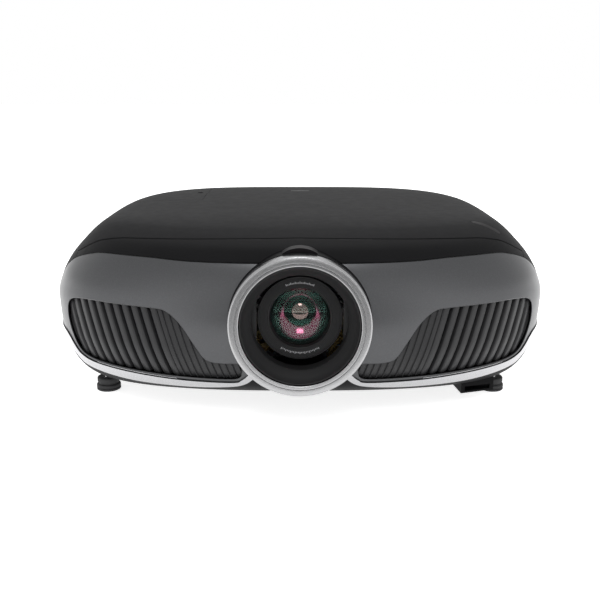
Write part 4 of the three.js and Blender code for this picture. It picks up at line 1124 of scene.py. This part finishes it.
# ---------------------------------------------------------------- feet
def make_feet():
    for side, sign in SIDES:
        x, y, _ = FOOT_MIDDLES[side]
        low, high = node_box(f"foot_pad_{side}")
        r, top = (high[0] - low[0]) / 2, high[2]
        profile = ([(0, 0), (r - 1.5, 0)] + arc(r - 1, 1, 1, 270, 360, 4) + [(r, 2.2)]
                   + [(r - 0.9, 2.8), (r - 0.9, 3.4), (r, 4)] + arc(r - 1.6, 5.4, 1.6, 0, 80, 5)
                   + [(r - 2, 7), (r - 2, 9)] + arc(r - 2, 10, 1, 280, 360, 4)
                   + arc(r - 2.5, top - 1.5, 1.5, 0, 90, 5) + [(4.6, top), (4.6, 4), (0, 4)])
        piece = lathe("pad", profile, "z", (x, y, 0), 72)
        finish_piece(piece, f"foot_{side}", "foot_rubber", f"foot_knob_{side}",
                     f"foot_pad_{side}")
        low, high = node_box(f"foot_stud_{side}")
        profile = [(0, low[2]), (3.6, low[2]), (4, low[2] + 0.4)]
        z = low[2] + 1
        while z < high[2] - 2:
            profile += [(4, z), (3.45, z + 0.75), (4, z + 1.5)]
            z += 1.5
        profile += [(4, high[2] - 1), (3, high[2]), (0, high[2])]
        piece = lathe("stud", without_repeats(profile), "z", (x, y, 0), 40)
        finish_piece(piece, f"foot_screw_{side}", "steel", f"foot_thread_{side}",
                     f"foot_stud_{side}")
        low, high = node_box(f"rear_foot_{side}")
        centre = (low + high) / 2
        profile = ([(0, 0), (10, 0)] + arc(10.5, 1, 1, 270, 360, 4) + arc(10.5, 5, 1, 0, 90, 4)
                   + [(10, 6.4), (10, high[2]), (0, high[2])])
        piece = lathe("rear", profile, "z", (centre[0], centre[1], 0), 64)
        finish_piece(piece, f"rear_pad_{side}", "foot_rubber", "case", f"rear_foot_{side}")


def without_repeats(points):
    """The points without neighbours that repeat."""
    kept = [points[0]]
    for point in points[1:]:
        if abs(point[0] - kept[-1][0]) + abs(point[1] - kept[-1][1]) > 1e-6:
            kept.append(point)
    return kept


# ---------------------------------------------------------------- side and rear
def make_buttons():
    for name in ("power", "source", "menu", "escape", "enter", "up", "down", "left", "right"):
        node = f"{name}_button"
        low, high = node_box(node)
        centre = (low + high) / 2
        flange = (high[1] - low[1]) / 2
        radius = flange - 0.8
        profile = ([(0, low[0]), (flange, low[0]), (flange, low[0] + 1.4), (radius, low[0] + 1.4)]
                   + arc(radius - 0.7, high[0] - 0.7, 0.7, 0, 90, 4) + [(0, high[0])])
        piece = lathe(node, profile, "x", (0, centre[1], centre[2]), 48)
        finish_piece(piece, f"{name}_key_cap", "key_plastic", f"{name}_key", node)


def make_filter_cover():
    piece = common(copy_of(shell, "filter"), filter_bay(-GAP, BAY_START, REAR + FAR))
    z = FILTER_LOW[2] - GAP + 9
    while z < FILTER_HIGH[2] + GAP - 9:
        cut(piece, prism(rounded_box(FILTER_LOW[0] + 9.6, FILTER_HIGH[0] - 9.6, z, z + 3, 1.4),
                         "y", BAY_START, REAR + FAR))
        z += 7
    return finish_piece(piece, "filter_door", "matte_black", "filter_drawer", "filter_cover")


def dress_frame_nodes():
    """The CAD nodes that keep their shape get softened edges and their material."""
    rows = {row["node"]: row["material_slot"] for row in frame["record"]["subparts"]}
    for name, node in frame["nodes"].items():
        if node.hide_render:
            continue
        bevel = node.modifiers.new("edges", "BEVEL")
        bevel.width = 0.35 * MM
        bevel.segments = 2
        bevel.limit_method = "ANGLE"
        bevel.angle_limit = math.radians(50)
        for index in range(max(1, len(node.material_slots))):
            if not node.material_slots:
                node.data.materials.append(MATERIALS[rows[name]])
            node.material_slots[index].material = MATERIALS[rows[name]]


# ---------------------------------------------------------------- scene
def area_light(name, place, aim, size, power, colour=(1, 1, 1)):
    light = bpy.data.lights.new(name, "AREA")
    light.shape = "RECTANGLE"
    light.size, light.size_y = size
    light.energy = power
    light.color = colour
    lamp = bpy.data.objects.new(name, light)
    bpy.context.scene.collection.objects.link(lamp)
    lamp.location = place
    direction = np.array(aim, float) - np.array(place, float)
    turn_to(lamp, direction)
    return lamp


def turn_to(thing, direction):
    thing.rotation_mode = "QUATERNION"
    thing.rotation_quaternion = Vector(direction).to_track_quat("-Z", "Y")


PAPER = (0.3, 0.3, 0.3)
SHADE_PATCH_Y = 0.83                   # middle of the painted dark patch that puts painted shade into the front's reflections, in metres in front of the origin
SHADE_PATCH_HALF_WIDTH = 0.6
SHADE_PATCH_HALF_DEPTH = 0.36


def make_floor():
    """White paper that glows by its own emission so shadows on it stay faint, with a painted dark patch
    below the camera that puts painted shade into the reflections.
    """
    size = 12
    floor = make_object("floor", np.array([[-size, -size, 0], [size, -size, 0], [size, size, 0],
                                           [-size, size, 0]]) / MM, [(0, 1, 2, 3)])
    floor.location.z = -0.0002
    material, tree, shader = new_material("floor_paper_and_shade_patch", PAPER, 0.9, {})
    # The paper glows with emission 0.8, so shadows cast on it stay faint.
    shader.inputs["Emission Strength"].default_value = 0.8
    # Painted dark patch: colour and glow fall to 0.06 inside it, so the fascia and the ring show painted
    # shade in their reflections.
    place = node_of(tree, "ShaderNodeMapping", Location=(0, SHADE_PATCH_Y / SHADE_PATCH_HALF_DEPTH, 0),
                    Scale=(1 / SHADE_PATCH_HALF_WIDTH, 1 / SHADE_PATCH_HALF_DEPTH, 1))
    tree.links.new(object_place(tree), place.inputs["Vector"])
    away = node_of(tree, "ShaderNodeVectorMath")
    away.operation = "LENGTH"
    tree.links.new(place.outputs["Vector"], away.inputs["Vector"])
    edge = node_of(tree, "ShaderNodeMapRange")
    tree.links.new(away.outputs["Value"], edge.inputs["Value"])
    edge.interpolation_type = "SMOOTHSTEP"
    edge.inputs["From Min"].default_value = 0.65
    edge.inputs["To Min"].default_value = 0.06
    for socket in ("Base Color", "Emission Color"):
        tree.links.new(edge.outputs["Result"], shader.inputs[socket])
    floor.data.materials.append(material)


def make_world():
    world = bpy.data.worlds.new("studio")
    world.use_nodes = True
    background = world.node_tree.nodes["Background"]
    background.inputs["Color"].default_value = (1, 1, 1, 1)
    background.inputs["Strength"].default_value = 1.0
    bpy.context.scene.world = world


CAMERA_DISTANCE = 1.0
CAMERA_TILT = math.radians(14.2)
CAMERA_AIM_Z = 0.0827
CAMERA_LENS = 51.66


def make_camera():
    data = bpy.data.cameras.new("camera")
    data.lens = CAMERA_LENS
    data.sensor_width = 36
    camera = bpy.data.objects.new("camera", data)
    bpy.context.scene.collection.objects.link(camera)
    camera.location = (0, -CAMERA_DISTANCE * math.cos(CAMERA_TILT),
                       CAMERA_AIM_Z + CAMERA_DISTANCE * math.sin(CAMERA_TILT))
    turn_to(camera, (0, math.cos(CAMERA_TILT), -math.sin(CAMERA_TILT)))
    bpy.context.scene.camera = camera


make_top_cover()
make_brow()
make_fascia()
make_lower_case()
make_trims()
for side_name, side_sign in SIDES:
    make_vent(side_name, side_sign)
make_ring()
make_collar()
make_funnel()
make_guards()
make_hood_bump()
make_barrel()
make_glass()
make_marks()
make_shutters()
make_deck_windows()
make_lamp_cover()
make_feet()
make_buttons()
make_filter_cover()
drop(outer, shell, fascia_region, brow_region, lens_hole, lamp_hole, fascia_seam, deck_seam,
     *part_seams, *end_seams, *lower_seams)
dress_frame_nodes()
make_floor()
make_world()
area_light("top_soft", (0, -0.4, 1.6), (0, 0, 0.1), (1.4, 0.6), 3)
area_light("front_soft", (0, -1.5, 1.15), (0, 0, 0.1), (0.5, 0.35), 5)
make_camera()
bpy.context.scene.view_settings.view_transform = "Standard"
